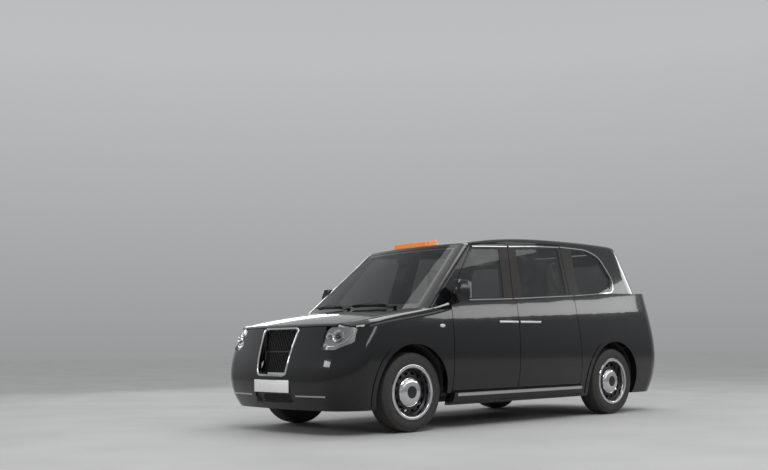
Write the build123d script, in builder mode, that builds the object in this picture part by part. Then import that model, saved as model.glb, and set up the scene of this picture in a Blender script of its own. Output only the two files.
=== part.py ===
from build123d import *
from math import atan2, cos, hypot, radians, sin
import os

os.makedirs("parts", exist_ok=True)

# A purpose-built hybrid taxi cab, right-hand drive, in millimetres.
# Frame: +X forward, +Y to the cab's left, +Z up, origin on the ground at mid length.

# Overall sizes
length = 4857
width = 1874
height = 1880
wheelbase = 2985
track = 1600
front_axle_x = 1540
rear_axle_x = front_axle_x - wheelbase
sill_z = 215

# Walls, gaps and clearances
side_wall = 68
pillar_wall = 42
skin = 14
panel_wall = 40
wing_wall = 20
bonnet_thickness = 28
lamp_wall = 60
glass_thickness = 6
glass_set = 4
shut_gap = 7
door_step = 30
flange_step = 12
seal_gap = 6
seat_gap = 0.3
shoulder_radius = 85
roof_edge_radius = 60

# Wheels and tyres, 215/65 R17
rim_diameter = 432
tyre_width = 215
tyre_profile = 0.65
tyre_radius = rim_diameter / 2 + tyre_width * tyre_profile
wheel_hole_count = 14

# Wheel arches
arch_radius = 428
arch_lip_width = 48
arch_lip_raise = 7
arch_lip_inner_y = 880

nose_x = length / 2
tail_x = -length / 2
half_width = width / 2
reach_x = 2600
reach_y = 1100
below_z = 100
loft_base_z = 900
above_bonnet_z = 1300
above_roof_z = 2000
front_start_x = 1040
belt_base_z = 1090
side_lean = 0.2667
belt_step = 52
tail_bow = 60


def cabin_half(z):
    """Half width of the glasshouse at a height: its sides lean in evenly."""
    return half_width - belt_step - side_lean * (z - belt_base_z)


# Plan outlines of the lower body at rising heights
# columns: height, nose x, tail x, half width, nose corner radius, tail corner radius, nose bow
lower_levels = (
    (sill_z, nose_x - 75, tail_x + 55, half_width - 72, 300, 260, 95),
    (490, nose_x, tail_x, half_width - 9, 300, 260, 95),
    (900, nose_x - 116, tail_x + 46, half_width - 4, 300, 260, 95),
    (1340, nose_x - 240, tail_x + 136, half_width - 66, 300, 260, 95),
)

# Plan outlines of the glasshouse at rising heights, same columns
upper_levels = (
    (belt_base_z, 1515, tail_x + 140, cabin_half(belt_base_z), 100, 330, 150),
    (1470, 1064, tail_x + 245, cabin_half(1470), 100, 330, 120),
    (1900, 554, tail_x + 420, cabin_half(1900), 100, 300, 90),
)

# Crown of the bonnet and wings, its side edges rounded ahead of a station
crest_start_x = 1100
# columns: x, height on the centre line, drop at the edge of the section
bonnet_stations = (
    (2500, 862, 30),
    (2150, 1003, 45),
    (1600, 1102, 45),
    (1020, 1196, 30),
)

# Crown of the roof, same columns
roof_stations = (
    (1600, 1570, 35),
    (900, 1716, 35),
    (200, 1832, 45),
    (-700, height, 45),
    (-1500, height - 4, 40),
    (-2300, height - 90, 35),
)
crown_half = 1000

# Belt line, the top of the lower body, from front to rear, closed below the sills
belt_outline = (
    (front_start_x, 1168),
    (110, 1206),
    (-770, 1258),
    (-1330, 1304),
    (-2500, 1330),
    (-2500, 150),
    (front_start_x, 150),
)

# Side view outlines of the left doors: x and z of their corners
front_cut_x = 1036
centre_cut_x = 118
rear_cut_x = -872
door_bottom = 352
half_gap = shut_gap / 2
front_door_outline = (
    (front_cut_x, door_bottom),
    (centre_cut_x + half_gap, door_bottom),
    (centre_cut_x + half_gap, 1200),
    (30, 1773),
    (550, 1743),
    (front_cut_x, 1168),
)
rear_door_outline = (
    (centre_cut_x - half_gap, door_bottom),
    (rear_cut_x, door_bottom),
    (rear_cut_x + 4, 520),
    (-800, 1260),
    (-806, 1806),
    (22, 1774),
    (centre_cut_x - half_gap, 1200),
)
door_corner = 22

# Side view outlines of the windows
front_window = ((985, 1196), (252, 1216), (171, 1716), (570, 1694))
rear_window = ((-22, 1228), (-743, 1276), (-766, 1764), (-84, 1726))
quarter_window = (
    (-962, 1292),
    (-1300, 1316),
    (-1540, 1352),
    (-1590, 1470),
    (-1450, 1690),
    (-1262, 1756),
    (-992, 1768),
)
window_corner = 26
quarter_corner = 45

# Front and rear view outlines, left half from top to bottom: y and z
screen_outline = ((640, 1716), (810, 1092))
screen_corner = 55
tailgate_outline = ((575, 1806), (655, 1300), (672, 735))
tailgate_corner = 40
rear_screen_outline = ((520, 1722), (585, 1300))
rear_screen_corner = 50
tail_lamp_outline = ((700, 1304), (806, 1290), (868, 1120), (872, 940), (706, 930))
headlamp_outline = ((590, 742), (760, 738), (880, 800), (872, 935), (700, 965), (610, 900))
lamp_corner = 30
grille_outline = ((262, 936), (215, 520))
grille_corner = 40
intake_outline = ((275, 360), (262, 268))
intake_corner = 20

# Plan view of the bonnet's shut line and of the cowl, left half from front to rear: x and y
bonnet_outline = (
    (2400, 560),
    (2262, 690),
    (1837, 775),
    (1450, 800),
    (1418, 785),
    (1458, 640),
    (1512, 300),
    (1524, 120),
)
bonnet_front_z = 945
cowl_outline = ((1560, 600), (1300, 770))
cowl_drop = 34

# Side view outlines of the bumpers
rear_bumper_outline = ((-1885, 200), (-1885, 560), (-2030, 700), (-2200, 722), (-2600, 722), (-2600, 200))
bumper_side_outline = ((1800, 100), (1915, 559), (2215, 612), (2330, 760), (2600, 760), (2600, 100))
wing_inner_y = 600

# Roof panel between its joints with the sides, and the roof window: rear x, front x, half width
roof_joint_y = 590
roof_glass = (-1120, -180, 400)
roof_glass_corner = 60
sign_rise = 42


def save(part, name):
    """Label a finished piece and write it."""
    part.label = name
    export_step(part, "parts/" + name + ".step")


def save_pair(part, name):
    """Write a left-hand piece and its right-hand mirror image."""
    save(part, name + "_left")
    with BuildPart() as right:
        mirror(part, about=Plane.XZ)
    save(right.part, name + "_right")


def plan_section(level, inset):
    """One plan outline: bowed nose and tail, straight sides and rounded corners."""
    z, nose, tail, half, nose_corner, tail_corner, nose_bow = level
    nose = nose - inset
    tail = tail + inset
    half = half - inset
    with BuildSketch(Plane.XY.offset(z)) as section:
        with BuildLine():
            ThreePointArc((nose - nose_bow, -half), (nose, 0), (nose - nose_bow, half))
            Line((nose - nose_bow, half), (tail + tail_bow, half))
            ThreePointArc((tail + tail_bow, half), (tail, 0), (tail + tail_bow, -half))
            Line((tail + tail_bow, -half), (nose - nose_bow, -half))
        make_face()
        fillet(section.vertices().group_by(Axis.X)[-1], nose_corner - inset)
        fillet(section.vertices().group_by(Axis.X)[0], tail_corner - inset)
    return section.sketch


def plan_loft(levels, inset):
    """Body volume through the plan outlines, drawn in by an inset."""
    with BuildPart() as volume:
        loft([plan_section(level, inset) for level in levels])
    return volume.part


def straight_loft(levels, inset):
    """Volume between the straight sides, longer than the body."""
    sections = []
    for level in levels:
        with BuildSketch(Plane.XY.offset(level[0])) as section:
            Rectangle(2 * reach_x, 2 * (level[3] - inset))
        sections.append(section.sketch)
    with BuildPart() as volume:
        loft(sections)
    return volume.part


def crown_section(x, top, drop, bottom):
    """One cross section of a crowned top, wider than the body."""
    with BuildSketch(Plane.YZ.offset(x)) as section:
        with BuildLine():
            ThreePointArc((-crown_half, top - drop), (0, top), (crown_half, top - drop))
            Polyline(
                (crown_half, top - drop),
                (crown_half, bottom),
                (-crown_half, bottom),
                (-crown_half, top - drop),
            )
        make_face()
    return section.sketch


def crown_loft(stations, lower, bottom):
    """Volume under a crowned top that is lowered by some millimetres."""
    with BuildPart() as volume:
        loft([crown_section(x, top - lower, drop, bottom) for x, top, drop in stations])
    return volume.part


def outline_prism(plane, points, radius, depth, grow=0):
    """Prism on a plane from an outline with rounded corners, grown or drawn in."""
    with BuildPart() as prism:
        with BuildSketch(plane) as outline:
            with BuildLine():
                Polyline(*points, close=True)
            make_face()
            if radius:
                fillet(outline.vertices(), radius)
            if grow:
                offset(amount=grow, kind=Kind.INTERSECTION)
        extrude(amount=depth)
    return prism.part


def side_prism(points, y_from, y_to, radius=0, grow=0):
    """Prism across the cab from an outline in the side view."""
    return outline_prism(Plane.XZ.offset(-y_to), points, radius, y_to - y_from, grow)


def left_prism(points, radius, grow=0):
    """Side-view prism through the left side wall only."""
    return side_prism(points, 300, reach_y, radius, grow)


def front_prism(points, radius, x_from, x_to, grow=0):
    """Prism along the cab from an outline in the front view."""
    return outline_prism(Plane.YZ.offset(x_from), points, radius, x_to - x_from, grow)


def plan_prism(points, radius, z_from, z_to, grow=0):
    """Upright prism from an outline in the plan view."""
    return outline_prism(Plane.XY.offset(z_from), points, radius, z_to - z_from, grow)


def box_between(x_from, x_to, y_from, y_to, z_from, z_to):
    """Box between two corners."""
    centre = ((x_from + x_to) / 2, (y_from + y_to) / 2, (z_from + z_to) / 2)
    with BuildPart(Plane(centre)) as block:
        Box(x_to - x_from, y_to - y_from, z_to - z_from)
    return block.part


def hub_cylinder(axle_x, radius, y_from, y_to):
    """Cylinder on a wheel's axis."""
    with BuildPart(Plane(origin=(axle_x, y_from, tyre_radius), z_dir=(0, 1, 0))) as cylinder:
        Cylinder(radius, y_to - y_from, align=(Align.CENTER, Align.CENTER, Align.MIN))
    return cylinder.part


def rectangle(sizes):
    """Corners of a plan rectangle from its rear, front and half width."""
    rear, front, half = sizes
    return ((rear, -half), (front, -half), (front, half), (rear, half))


def both_sides(points):
    """Right-and-left outline of a front view from its left half, top to bottom."""
    return list(points) + [(-y, z) for y, z in reversed(points)]


def both_sides_plan(points):
    """Right-and-left outline of a plan view from its left half, front to rear."""
    return list(points) + [(x, -y) for x, y in reversed(points)]


def biggest(part):
    """The largest solid of a part."""
    with BuildPart() as kept:
        add(part.solids().sort_by(SortBy.VOLUME)[-1])
    return kept.part


def wall_piece(outside, inside, within, cuts):
    """Wall between two volumes, kept within one prism and cut by others."""
    with BuildPart() as wall:
        add(outside)
        if within is not None:
            add(within, mode=Mode.INTERSECT)
        add([inside] + list(cuts), mode=Mode.SUBTRACT)
    return wall.part


def in_both_halves(part):
    """A left-hand piece with its mirror image, in one part."""
    with BuildPart() as whole:
        add(part)
        mirror(about=Plane.XZ)
    return whole.part


def under_belt(loft_part, drop=0):
    """Left half of a lower body under the belt line, or some millimetres below it."""
    with BuildPart() as volume:
        add(loft_part)
        add(side_prism([(x, z - drop) for x, z in belt_outline], 0, reach_y), mode=Mode.INTERSECT)
    return volume.part


def under_roof(loft_part, inset, edge_count):
    """Upper body under the roof's crown, with the longest roof edges rounded."""
    with BuildPart() as volume:
        add(loft_part)
        add(crown_loft(roof_stations, inset, loft_base_z), mode=Mode.INTERSECT)
        edges = volume.faces().sort_by(Axis.Z)[-1].edges().sort_by(SortBy.LENGTH)
        fillet(edges[-edge_count:], roof_edge_radius - inset)
    return volume.part


def glasshouse(inset):
    """Upper body round the windows, with its rounded corners."""
    rounded_edges = 8
    return under_roof(plan_loft(upper_levels, inset), inset, rounded_edges)


def left_half(part):
    """The left half of a volume."""
    with BuildPart() as kept:
        add(part)
        add(box_between(-reach_x, reach_x, 0, reach_y, 0, above_roof_z), mode=Mode.INTERSECT)
    return kept.part


def body_volume(inset, cabin, drop=0):
    """Left half of the body behind the bonnet, with a given glasshouse."""
    with BuildPart() as volume:
        add(under_belt(plan_loft(lower_levels, inset), drop))
        add(left_half(cabin))
    return volume.part


def door_volume(inset, upper_inset):
    """Left half of the body at the doors, where its sides are straight."""
    with BuildPart() as volume:
        add(under_belt(straight_loft(lower_levels, inset)))
        add(left_half(under_roof(straight_loft(upper_levels, upper_inset), upper_inset, 2)))
    return volume.part


def front_volume(inset, lower):
    """Lower body ahead of the front doors, under the bonnet's crown."""
    with BuildPart() as volume:
        add(plan_loft(lower_levels, inset))
        add(crown_loft(bonnet_stations, lower, below_z), mode=Mode.INTERSECT)
        crest = volume.faces().sort_by(Axis.Z)[-1].edges()
        fillet(crest.filter_by(lambda edge: edge.center().X > crest_start_x), shoulder_radius - inset)
        add(
            box_between(front_start_x, reach_x, -reach_y, reach_y, below_z, above_bonnet_z),
            mode=Mode.INTERSECT,
        )
    return volume.part


def stepped_panel(masters, prisms, opening):
    """Panel with a window, its inner layer drawn in from the skin all round."""
    outside, layer, inside = masters
    edge, clear_edge, drawn_in = prisms
    with BuildPart() as rim:
        add(layer)
        add(clear_edge, mode=Mode.INTERSECT)
        add(drawn_in, mode=Mode.SUBTRACT)
    return wall_piece(outside, inside, edge, [rim.part, opening])


def with_lip(part, grown, axle_x):
    """A volume with the raised lip round one wheel arch, taken from a grown copy."""
    with BuildPart() as lip:
        add(grown)
        add(
            hub_cylinder(axle_x, arch_radius + arch_lip_width, arch_lip_inner_y, reach_y),
            mode=Mode.INTERSECT,
        )
    with BuildPart() as volume:
        add(part)
        add(lip.part)
    return volume.part


# Masters that the panels are cut from
roof_outer = glasshouse(0)
roof_inner = glasshouse(pillar_wall)
outer = with_lip(
    body_volume(0, roof_outer),
    under_belt(plan_loft(lower_levels, -arch_lip_raise)),
    rear_axle_x,
)
core = body_volume(side_wall, roof_inner)
flange = body_volume(skin + seal_gap, glasshouse(skin + seal_gap), seal_gap)
front_outer = front_volume(0, 0)
front_grown = front_volume(-arch_lip_raise, -arch_lip_raise)
front_lipped = in_both_halves(with_lip(left_half(front_outer), front_grown, front_axle_x))
front_inner = front_volume(wing_wall, wing_wall)
pane_outer = glasshouse(glass_set)
pane_inner = glasshouse(glass_set + glass_thickness)

# Doors and their panes
door_masters = (door_volume(0, 0), door_volume(skin, skin), door_volume(side_wall, pillar_wall))
doors = (
    ("door_front", front_door_outline, front_window),
    ("door_rear", rear_door_outline, rear_window),
)
for name, outline, window in doors:
    prisms = [left_prism(outline, door_corner, grow) for grow in (0, shut_gap, -door_step)]
    door = stepped_panel(door_masters, prisms, left_prism(window, window_corner))
    save_pair(biggest(door), name)
    save_pair(
        wall_piece(pane_outer, pane_inner, left_prism(window, window_corner, -seat_gap), []),
        name + "_glass",
    )

# Openings that the sides, roof and tail share
screen_zone = (300, 1700)
tailgate_zone = (-reach_x, -1750)
tail_lamp_zone = (-reach_x, -1900)
rear_well_y = 500
front_well_y = 400
screen_prism = front_prism(both_sides(screen_outline), screen_corner, *screen_zone)
tailgate_hole = front_prism(both_sides(tailgate_outline), tailgate_corner, *tailgate_zone, shut_gap)
tail_lamp_hole = front_prism(tail_lamp_outline, lamp_corner, *tail_lamp_zone)
rear_well = hub_cylinder(rear_axle_x, arch_radius, rear_well_y, reach_y)
front_well = hub_cylinder(front_axle_x, arch_radius, front_well_y, reach_y)

# Body side: posts, cant rail, sill and rear quarter, rebated round the doors
cabin_half_y = 560
cabin_top_z = 1650
wing_top_z = 1105
post_front_x = 1100
roof_zone_x = (-2300, 900)
roof_zone_z = (1600, above_roof_z)
with BuildPart() as rebates:
    for name, outline, window in doors:
        add(left_prism(outline, door_corner, shut_gap))
    add(box_between(front_cut_x, reach_x, 0, reach_y, below_z, wing_top_z))
    add(flange, mode=Mode.SUBTRACT)
side = wall_piece(
    outer,
    core,
    None,
    [
        rebates.part,
        left_prism(quarter_window, quarter_corner),
        box_between(*roof_zone_x, -1, roof_joint_y, *roof_zone_z),
        screen_prism,
        tailgate_hole,
        tail_lamp_hole,
        side_prism(rear_bumper_outline, 0, reach_y),
        rear_well,
        box_between(-reach_x, reach_x, -1, cabin_half_y, below_z, cabin_top_z),
        box_between(post_front_x, reach_x, 0, reach_y, below_z, wing_top_z),
    ]
    + [left_prism(outline, door_corner, -flange_step) for name, outline, window in doors],
)
save_pair(biggest(side), "body_side")

# Roof panel
roof_glass_zone = (1500, above_roof_z)
roof_hole = plan_prism(rectangle(roof_glass), roof_glass_corner, *roof_glass_zone)
roof = wall_piece(
    roof_outer,
    roof_inner,
    box_between(*roof_zone_x, -roof_joint_y, roof_joint_y, *roof_zone_z),
    [screen_prism, tailgate_hole, roof_hole],
)
save(roof, "roof_panel")

# Tailgate and its window
tail_masters = (outer, body_volume(skin, glasshouse(skin)), core)
tailgate_prisms = [
    front_prism(both_sides(tailgate_outline), tailgate_corner, *tailgate_zone, grow)
    for grow in (0, shut_gap, -door_step)
]
rear_screen_hole = front_prism(both_sides(rear_screen_outline), rear_screen_corner, *tailgate_zone)
save(in_both_halves(stepped_panel(tail_masters, tailgate_prisms, rear_screen_hole)), "tailgate")
rear_pane_zone = front_prism(
    both_sides(rear_screen_outline), rear_screen_corner, *tailgate_zone, -seat_gap
)
save(wall_piece(pane_outer, pane_inner, rear_pane_zone, []), "tailgate_glass")

# Fixed glass: windscreen, quarter windows and roof window
pane_zones = (
    front_prism(both_sides(screen_outline), screen_corner, *screen_zone, -seat_gap),
    left_prism(quarter_window, quarter_corner, -seat_gap),
    plan_prism(rectangle(roof_glass), roof_glass_corner, *roof_glass_zone, -seat_gap),
)
windscreen, quarter_pane, roof_window = [
    wall_piece(pane_outer, pane_inner, zone, []) for zone in pane_zones
]
with BuildPart() as fixed_glass:
    add(quarter_pane)
    mirror(about=Plane.XZ)
    add(windscreen)
    add(roof_window)
save(fixed_glass.part, "fixed_glass")

# Bonnet
bonnet_plan = both_sides_plan(bonnet_outline)
bonnet_zone = plan_prism(bonnet_plan, 0, bonnet_front_z, above_bonnet_z)
bonnet_inner = front_volume(bonnet_thickness, bonnet_thickness)
save(wall_piece(front_outer, bonnet_inner, bonnet_zone, []), "bonnet")

# Wings
headlamp_zone = (1900, reach_x)
cowl_zone = (1000, above_bonnet_z)
wing_bottom_z = 330
headlamp_hole = front_prism(headlamp_outline, lamp_corner, *headlamp_zone)
bonnet_hole = plan_prism(bonnet_plan, 0, bonnet_front_z - shut_gap, above_bonnet_z, shut_gap)
bumper_prism = side_prism(bumper_side_outline, -reach_y, reach_y)
cabin_clearance = glasshouse(-seat_gap)
wing = wall_piece(
    front_lipped,
    front_inner,
    box_between(front_cut_x + shut_gap, reach_x, wing_inner_y, reach_y, below_z, above_bonnet_z),
    [
        bonnet_hole,
        bumper_prism,
        front_well,
        headlamp_hole,
        plan_prism(both_sides_plan(cowl_outline), 0, *cowl_zone, 1),
        cabin_clearance,
        box_between(0, reach_x, -reach_y, reach_y, below_z, wing_bottom_z),
    ],
)
save(in_both_halves(biggest(wing)), "front_wings")

# Bumper skin with the grille and intake openings, and a flat seat for the number plate
bumper_rear_x = 2100
bumper_half_y = 780
nose_zone = (2000, reach_x)
plate_seat = (2416, reach_x, -268, 268, 364, 480)
with BuildPart() as bumper_zone:
    add(bumper_prism)
    add(
        box_between(bumper_rear_x, reach_x, 1 - wing_inner_y, wing_inner_y - 1, below_z, above_bonnet_z)
    )
bumper = wall_piece(
    front_lipped,
    front_volume(panel_wall, panel_wall),
    bumper_zone.part,
    [
        bonnet_hole,
        hub_cylinder(front_axle_x, arch_radius, -reach_y, reach_y),
        headlamp_hole,
        mirror(headlamp_hole, about=Plane.XZ, mode=Mode.PRIVATE),
        front_prism(both_sides(grille_outline), grille_corner, *nose_zone),
        front_prism(both_sides(intake_outline), intake_corner, *nose_zone),
        box_between(0, bumper_rear_x, -bumper_half_y, bumper_half_y, 0, above_bonnet_z),
        box_between(*plate_seat),
    ],
)
save(bumper, "front_bumper")

# Headlamps and tail lamps
headlamp = wall_piece(
    front_outer,
    front_volume(lamp_wall, lamp_wall),
    front_prism(headlamp_outline, lamp_corner, *headlamp_zone, -seat_gap),
    [bonnet_hole],
)
save(in_both_halves(biggest(headlamp)), "headlamps")
tail_lamp = wall_piece(
    outer,
    core,
    front_prism(tail_lamp_outline, lamp_corner, *tail_lamp_zone, -seat_gap),
    [],
)
save(in_both_halves(biggest(tail_lamp)), "tail_lamps")

# Rear bumper
rear_bumper_half = wall_piece(
    outer,
    core,
    side_prism(rear_bumper_outline, -1, reach_y),
    [rear_well, tailgate_hole],
)
save(in_both_halves(rear_bumper_half), "rear_bumper")

# Cowl between the bonnet and the windscreen
cowl_sheet = wall_piece(
    front_volume(cowl_drop, cowl_drop),
    front_volume(cowl_drop + wing_wall, cowl_drop + wing_wall),
    plan_prism(both_sides_plan(cowl_outline), 0, *cowl_zone),
    [],
)
save(cowl_sheet, "cowl")

# Grille: chrome surround, upright slats with a cross bar, and the lattice of the lower intake
grille_foot_x = 2372
grille_rake = 95
grille_top_y, grille_top_z = grille_outline[0]
grille_foot_y, grille_foot_z = grille_outline[1]
grille_rise = grille_top_z - grille_foot_z
grille_height = hypot(grille_rake, grille_rise)
grille_lean = atan2(grille_rake, grille_rise)
grille_base = Plane(
    origin=(grille_foot_x, 0, grille_foot_z),
    x_dir=(0, 1, 0),
    z_dir=(cos(grille_lean), 0, sin(grille_lean)),
)
grille_face = both_sides(((grille_top_y, grille_height), (grille_foot_y, 0)))
surround_fit = 1.5
surround_width = 20
surround_depth = 34
slat_count = 17
slat_pitch = 26
slat_width = 7
slat_set = 4
slat_depth = 30
cross_bar = 12
with BuildPart() as surround:
    with BuildSketch(grille_base) as ring:
        with BuildLine():
            Polyline(*grille_face, close=True)
        make_face()
        fillet(ring.vertices(), grille_corner)
        offset(amount=-surround_fit)
        offset(amount=-surround_width, mode=Mode.SUBTRACT)
    extrude(amount=-surround_depth)
save(surround.part, "grille_surround")
with BuildPart() as slats:
    with BuildSketch(grille_base.offset(-slat_set)):
        with Locations((0, grille_height / 2)):
            with GridLocations(slat_pitch, 1, slat_count, 1):
                Rectangle(slat_width, grille_height)
            Rectangle(2 * grille_top_y, cross_bar)
    extrude(amount=-slat_depth)
    with BuildSketch(grille_base) as bars:
        with BuildLine():
            Polyline(*grille_face, close=True)
        make_face()
        fillet(bars.vertices(), grille_corner)
        offset(amount=-surround_fit - surround_width - seat_gap)
    extrude(amount=-2 * slat_depth, mode=Mode.INTERSECT)
lattice_x = 2395
lattice_pitch = 30
lattice_count = 21
lattice_bar = 5
lattice_border = 10
lattice_depth = 12
lattice_bar_length = 220
intake_top_y, intake_top_z = intake_outline[0]
intake_foot_z = intake_outline[1][1]
with BuildPart() as lattice:
    with BuildSketch(Plane.YZ.offset(lattice_x)):
        with Locations((0, (intake_top_z + intake_foot_z) / 2)):
            for lean in (45, -45):
                with GridLocations(lattice_pitch, 1, lattice_count, 1):
                    Rectangle(lattice_bar, lattice_bar_length, rotation=lean)
        with Locations((0, intake_foot_z + lattice_border / 2), (0, intake_top_z - lattice_border / 2)):
            Rectangle(2 * intake_top_y, lattice_border)
    extrude(amount=-lattice_depth)
    add(
        front_prism(both_sides(intake_outline), intake_corner, *nose_zone, -seat_gap),
        mode=Mode.INTERSECT,
    )
with BuildPart() as grille:
    add(slats.part)
    add(lattice.part)
save(grille.part, "grille")

# Platform: floor and bulkhead, cut round the wheel houses
floor_side = (
    (1200, 1100),
    (1200, 300),
    (-1000, 300),
    (-1080, 470),
    (-2330, 470),
    (-2330, 500),
    (-1062, 500),
    (-980, 330),
    (1170, 330),
    (1170, 1100),
)
house_wall = 9
bay_clearance = 8
front_house_y = 430
rear_house_y = 560
house_zone_z = (330, 1100)
floor_half_y = 1000
axle_slot_y = (500, 700)
axle_slot_z = (200, tyre_radius + 75)
axle_slot_half = 80
engine_bay_front_x = 2060
bay = front_volume(side_wall, wing_wall + bay_clearance)
cabin_zone = box_between(-reach_x, front_start_x, 0, floor_half_y, below_z, above_bonnet_z)
engine_zone = box_between(front_start_x, engine_bay_front_x, 0, floor_half_y, below_z, above_bonnet_z)


def house_outside(axle_x, house_y, clearance):
    """Outer form of a wheel house, grown by a clearance."""
    wall = house_wall + clearance
    return hub_cylinder(axle_x, arch_radius + wall, house_y - wall, floor_half_y)


def floor_within(zone, inside):
    """Left half of the floor inside a zone and a body volume."""
    with BuildPart() as floor:
        add(side_prism(floor_side, 0, floor_half_y))
        add(zone, mode=Mode.INTERSECT)
        add(inside, mode=Mode.INTERSECT)
        add(house_outside(front_axle_x, front_house_y, seat_gap), mode=Mode.SUBTRACT)
        add(house_outside(rear_axle_x, rear_house_y, seat_gap), mode=Mode.SUBTRACT)
    return floor.part


with BuildPart() as platform:
    add(floor_within(cabin_zone, core))
    add(floor_within(engine_zone, bay))
    mirror(about=Plane.XZ)
save(platform.part, "platform")

# Wheel houses, the rear ones open round the axle beam
houses = []
for axle_x, house_y, inside in (
    (front_axle_x, front_house_y, bay),
    (rear_axle_x, rear_house_y, core),
):
    with BuildPart() as house:
        add(house_outside(axle_x, house_y, 0))
        add(box_between(-reach_x, reach_x, 0, floor_half_y, *house_zone_z), mode=Mode.INTERSECT)
        add(hub_cylinder(axle_x, arch_radius, house_y, reach_y), mode=Mode.SUBTRACT)
        add(inside, mode=Mode.INTERSECT)
        slot_x = (rear_axle_x - axle_slot_half, rear_axle_x + axle_slot_half)
        add(box_between(*slot_x, *axle_slot_y, *axle_slot_z), mode=Mode.SUBTRACT)
    houses.append(biggest(house.part))
with BuildPart() as wheel_houses:
    add(houses)
    mirror(about=Plane.XZ)
save(wheel_houses.part, "wheel_houses")

# Engine and battery, each a plain block at its place
engine_box = (1330, 1930, -300, 300, 330, 880)
battery_box = (-850, 750, -420, 420, sill_z, 300 - seat_gap)
save(box_between(*engine_box), "engine")
save(box_between(*battery_box), "battery")

# Sill steps
step_section = ((846, 222), (900, 250), (926, 300), (928, 330), (905, 336), (880, 300), (850, 250))
step_rear_x = -900
step_length = 1930
with BuildPart() as step:
    add(front_prism(step_section, 0, step_rear_x, step_rear_x + step_length))
    add(outer, mode=Mode.SUBTRACT)
save(in_both_halves(biggest(step.part)), "sill_steps")

# Roof sign
sign_plan = ((700, -250), (700, 250), (560, 280), (560, -280))
sign_corner = 30
sign = wall_piece(
    crown_loft(roof_stations, -sign_rise, loft_base_z),
    crown_loft(roof_stations, -seat_gap, loft_base_z),
    plan_prism(sign_plan, sign_corner, *roof_zone_z),
    [],
)
save(sign, "roof_sign")

# Door mirrors
# columns of the housing's sections: height, x, y, length, width, corner radius
mirror_sections = (
    (1176, 965, 962, 150, 100, 34),
    (1280, 970, 962, 176, 112, 40),
    (1370, 965, 960, 140, 92, 34),
)
mirror_arm = ((900, 1186), (1000, 1186), (985, 1216), (905, 1222))
mirror_arm_y = (845, 925)
mirror_edge = 16
sections = []
for z, x, y, size_x, size_y, corner in mirror_sections:
    with BuildSketch(Plane.XY.offset(z)) as section:
        with Locations((x, y)):
            RectangleRounded(size_x, size_y, corner)
    sections.append(section.sketch)
with BuildPart() as door_mirror:
    loft(sections)
    fillet(door_mirror.edges().group_by(Axis.Z)[-1], mirror_edge)
    add(side_prism(mirror_arm, *mirror_arm_y))
    add(outer, mode=Mode.SUBTRACT)
save_pair(biggest(door_mirror.part), "door_mirror")

# Dashboard and steering wheel
wheel_rim_radius = 190
wheel_tube = 15
column_radius = 20
column_clearance = 8
column_lean = radians(24)
steering_plane = Plane(
    origin=(792, -370, 985),
    x_dir=(0, 1, 0),
    z_dir=(-cos(column_lean), 0, sin(column_lean)),
)
dashboard_section = ((1168, 760), (940, 800), (905, 1000), (960, 1085), (1168, 1120))
dashboard_half_y = 780
dashboard_edge = 30
column_length = 120
boss_radius = 46
boss_depth = 44
spoke_count = 3
spoke_width = 34
spoke_depth = 12
with BuildPart(steering_plane) as column_hole:
    Cylinder(column_radius + column_clearance, 5 * column_length)
with BuildPart() as dashboard:
    add(side_prism(dashboard_section, -dashboard_half_y, dashboard_half_y))
    fillet(dashboard.edges().filter_by(Axis.Y).group_by(Axis.X)[0:3], dashboard_edge)
    add(column_hole.part, mode=Mode.SUBTRACT)
save(dashboard.part, "dashboard")
with BuildPart(steering_plane) as steering_wheel:
    Torus(wheel_rim_radius, wheel_tube)
    Cylinder(boss_radius, boss_depth)
    with PolarLocations(wheel_rim_radius / 2, spoke_count, start_angle=-90):
        Box(wheel_rim_radius, spoke_width, spoke_depth)
    with Locations((0, 0, -wheel_tube - column_length / 2)):
        Cylinder(column_radius, column_length)
save(steering_wheel.part, "steering_wheel")


def seat(points, radius, y_from, y_to, edge_radius):
    """Cushioned seat from its side view, with rounded edges."""
    with BuildPart() as cushion:
        add(side_prism(points, y_from, y_to, radius))
        ends = cushion.faces().sort_by(Axis.Y)
        fillet(ends[0].edges() + ends[-1].edges(), edge_radius)
    return cushion.part


# Seats
driver_points = (
    (560, 430),
    (570, 590),
    (120, 560),
    (10, 1180),
    (-5, 1390),
    (-95, 1390),
    (-100, 1180),
    (-20, 470),
    (60, 430),
)
bench_points = ((-1120, 505), (-1100, 700), (-1500, 680), (-1640, 1210), (-1760, 1230), (-1700, 505))
seat_edge = 24
driver_seat_y = (-620, -120)
bench_y = (-535, 535)
save(seat(driver_points, 36, *driver_seat_y, seat_edge), "driver_seat")
save(seat(bench_points, 40, *bench_y, seat_edge), "rear_bench")

# Partition behind the driver with two folded seats
# columns of its boxes: x from, x to, y from, y to, z from, z to
partition_boxes = (
    (-200, -175, 0, 760, 330, 1130),
    (-200, -175, 600, 650, 330, 1600),
    (-200, -175, 0, 640, 1560, 1600),
    (-290, -200, 40, 250, 520, 1080),
)
with BuildPart() as partition:
    for sizes in partition_boxes:
        add(box_between(*sizes))
    mirror(about=Plane.XZ)
save(partition.part, "partition")

# Front suspension: subframe and lower arms
kingpin_y = 770
arm_outline = ((1400, 370), (1512, 590), (1512, 745), (1568, 745), (1568, 590), (1680, 370))
arm_z = (205, 227)
subframe_box = (1400, 1680, 0, 380, 215, 285)
with BuildPart() as front_suspension:
    add(box_between(*subframe_box))
    add(plan_prism(arm_outline, 0, *arm_z))
    mirror(about=Plane.XZ)
save(front_suspension.part, "front_suspension")

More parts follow.
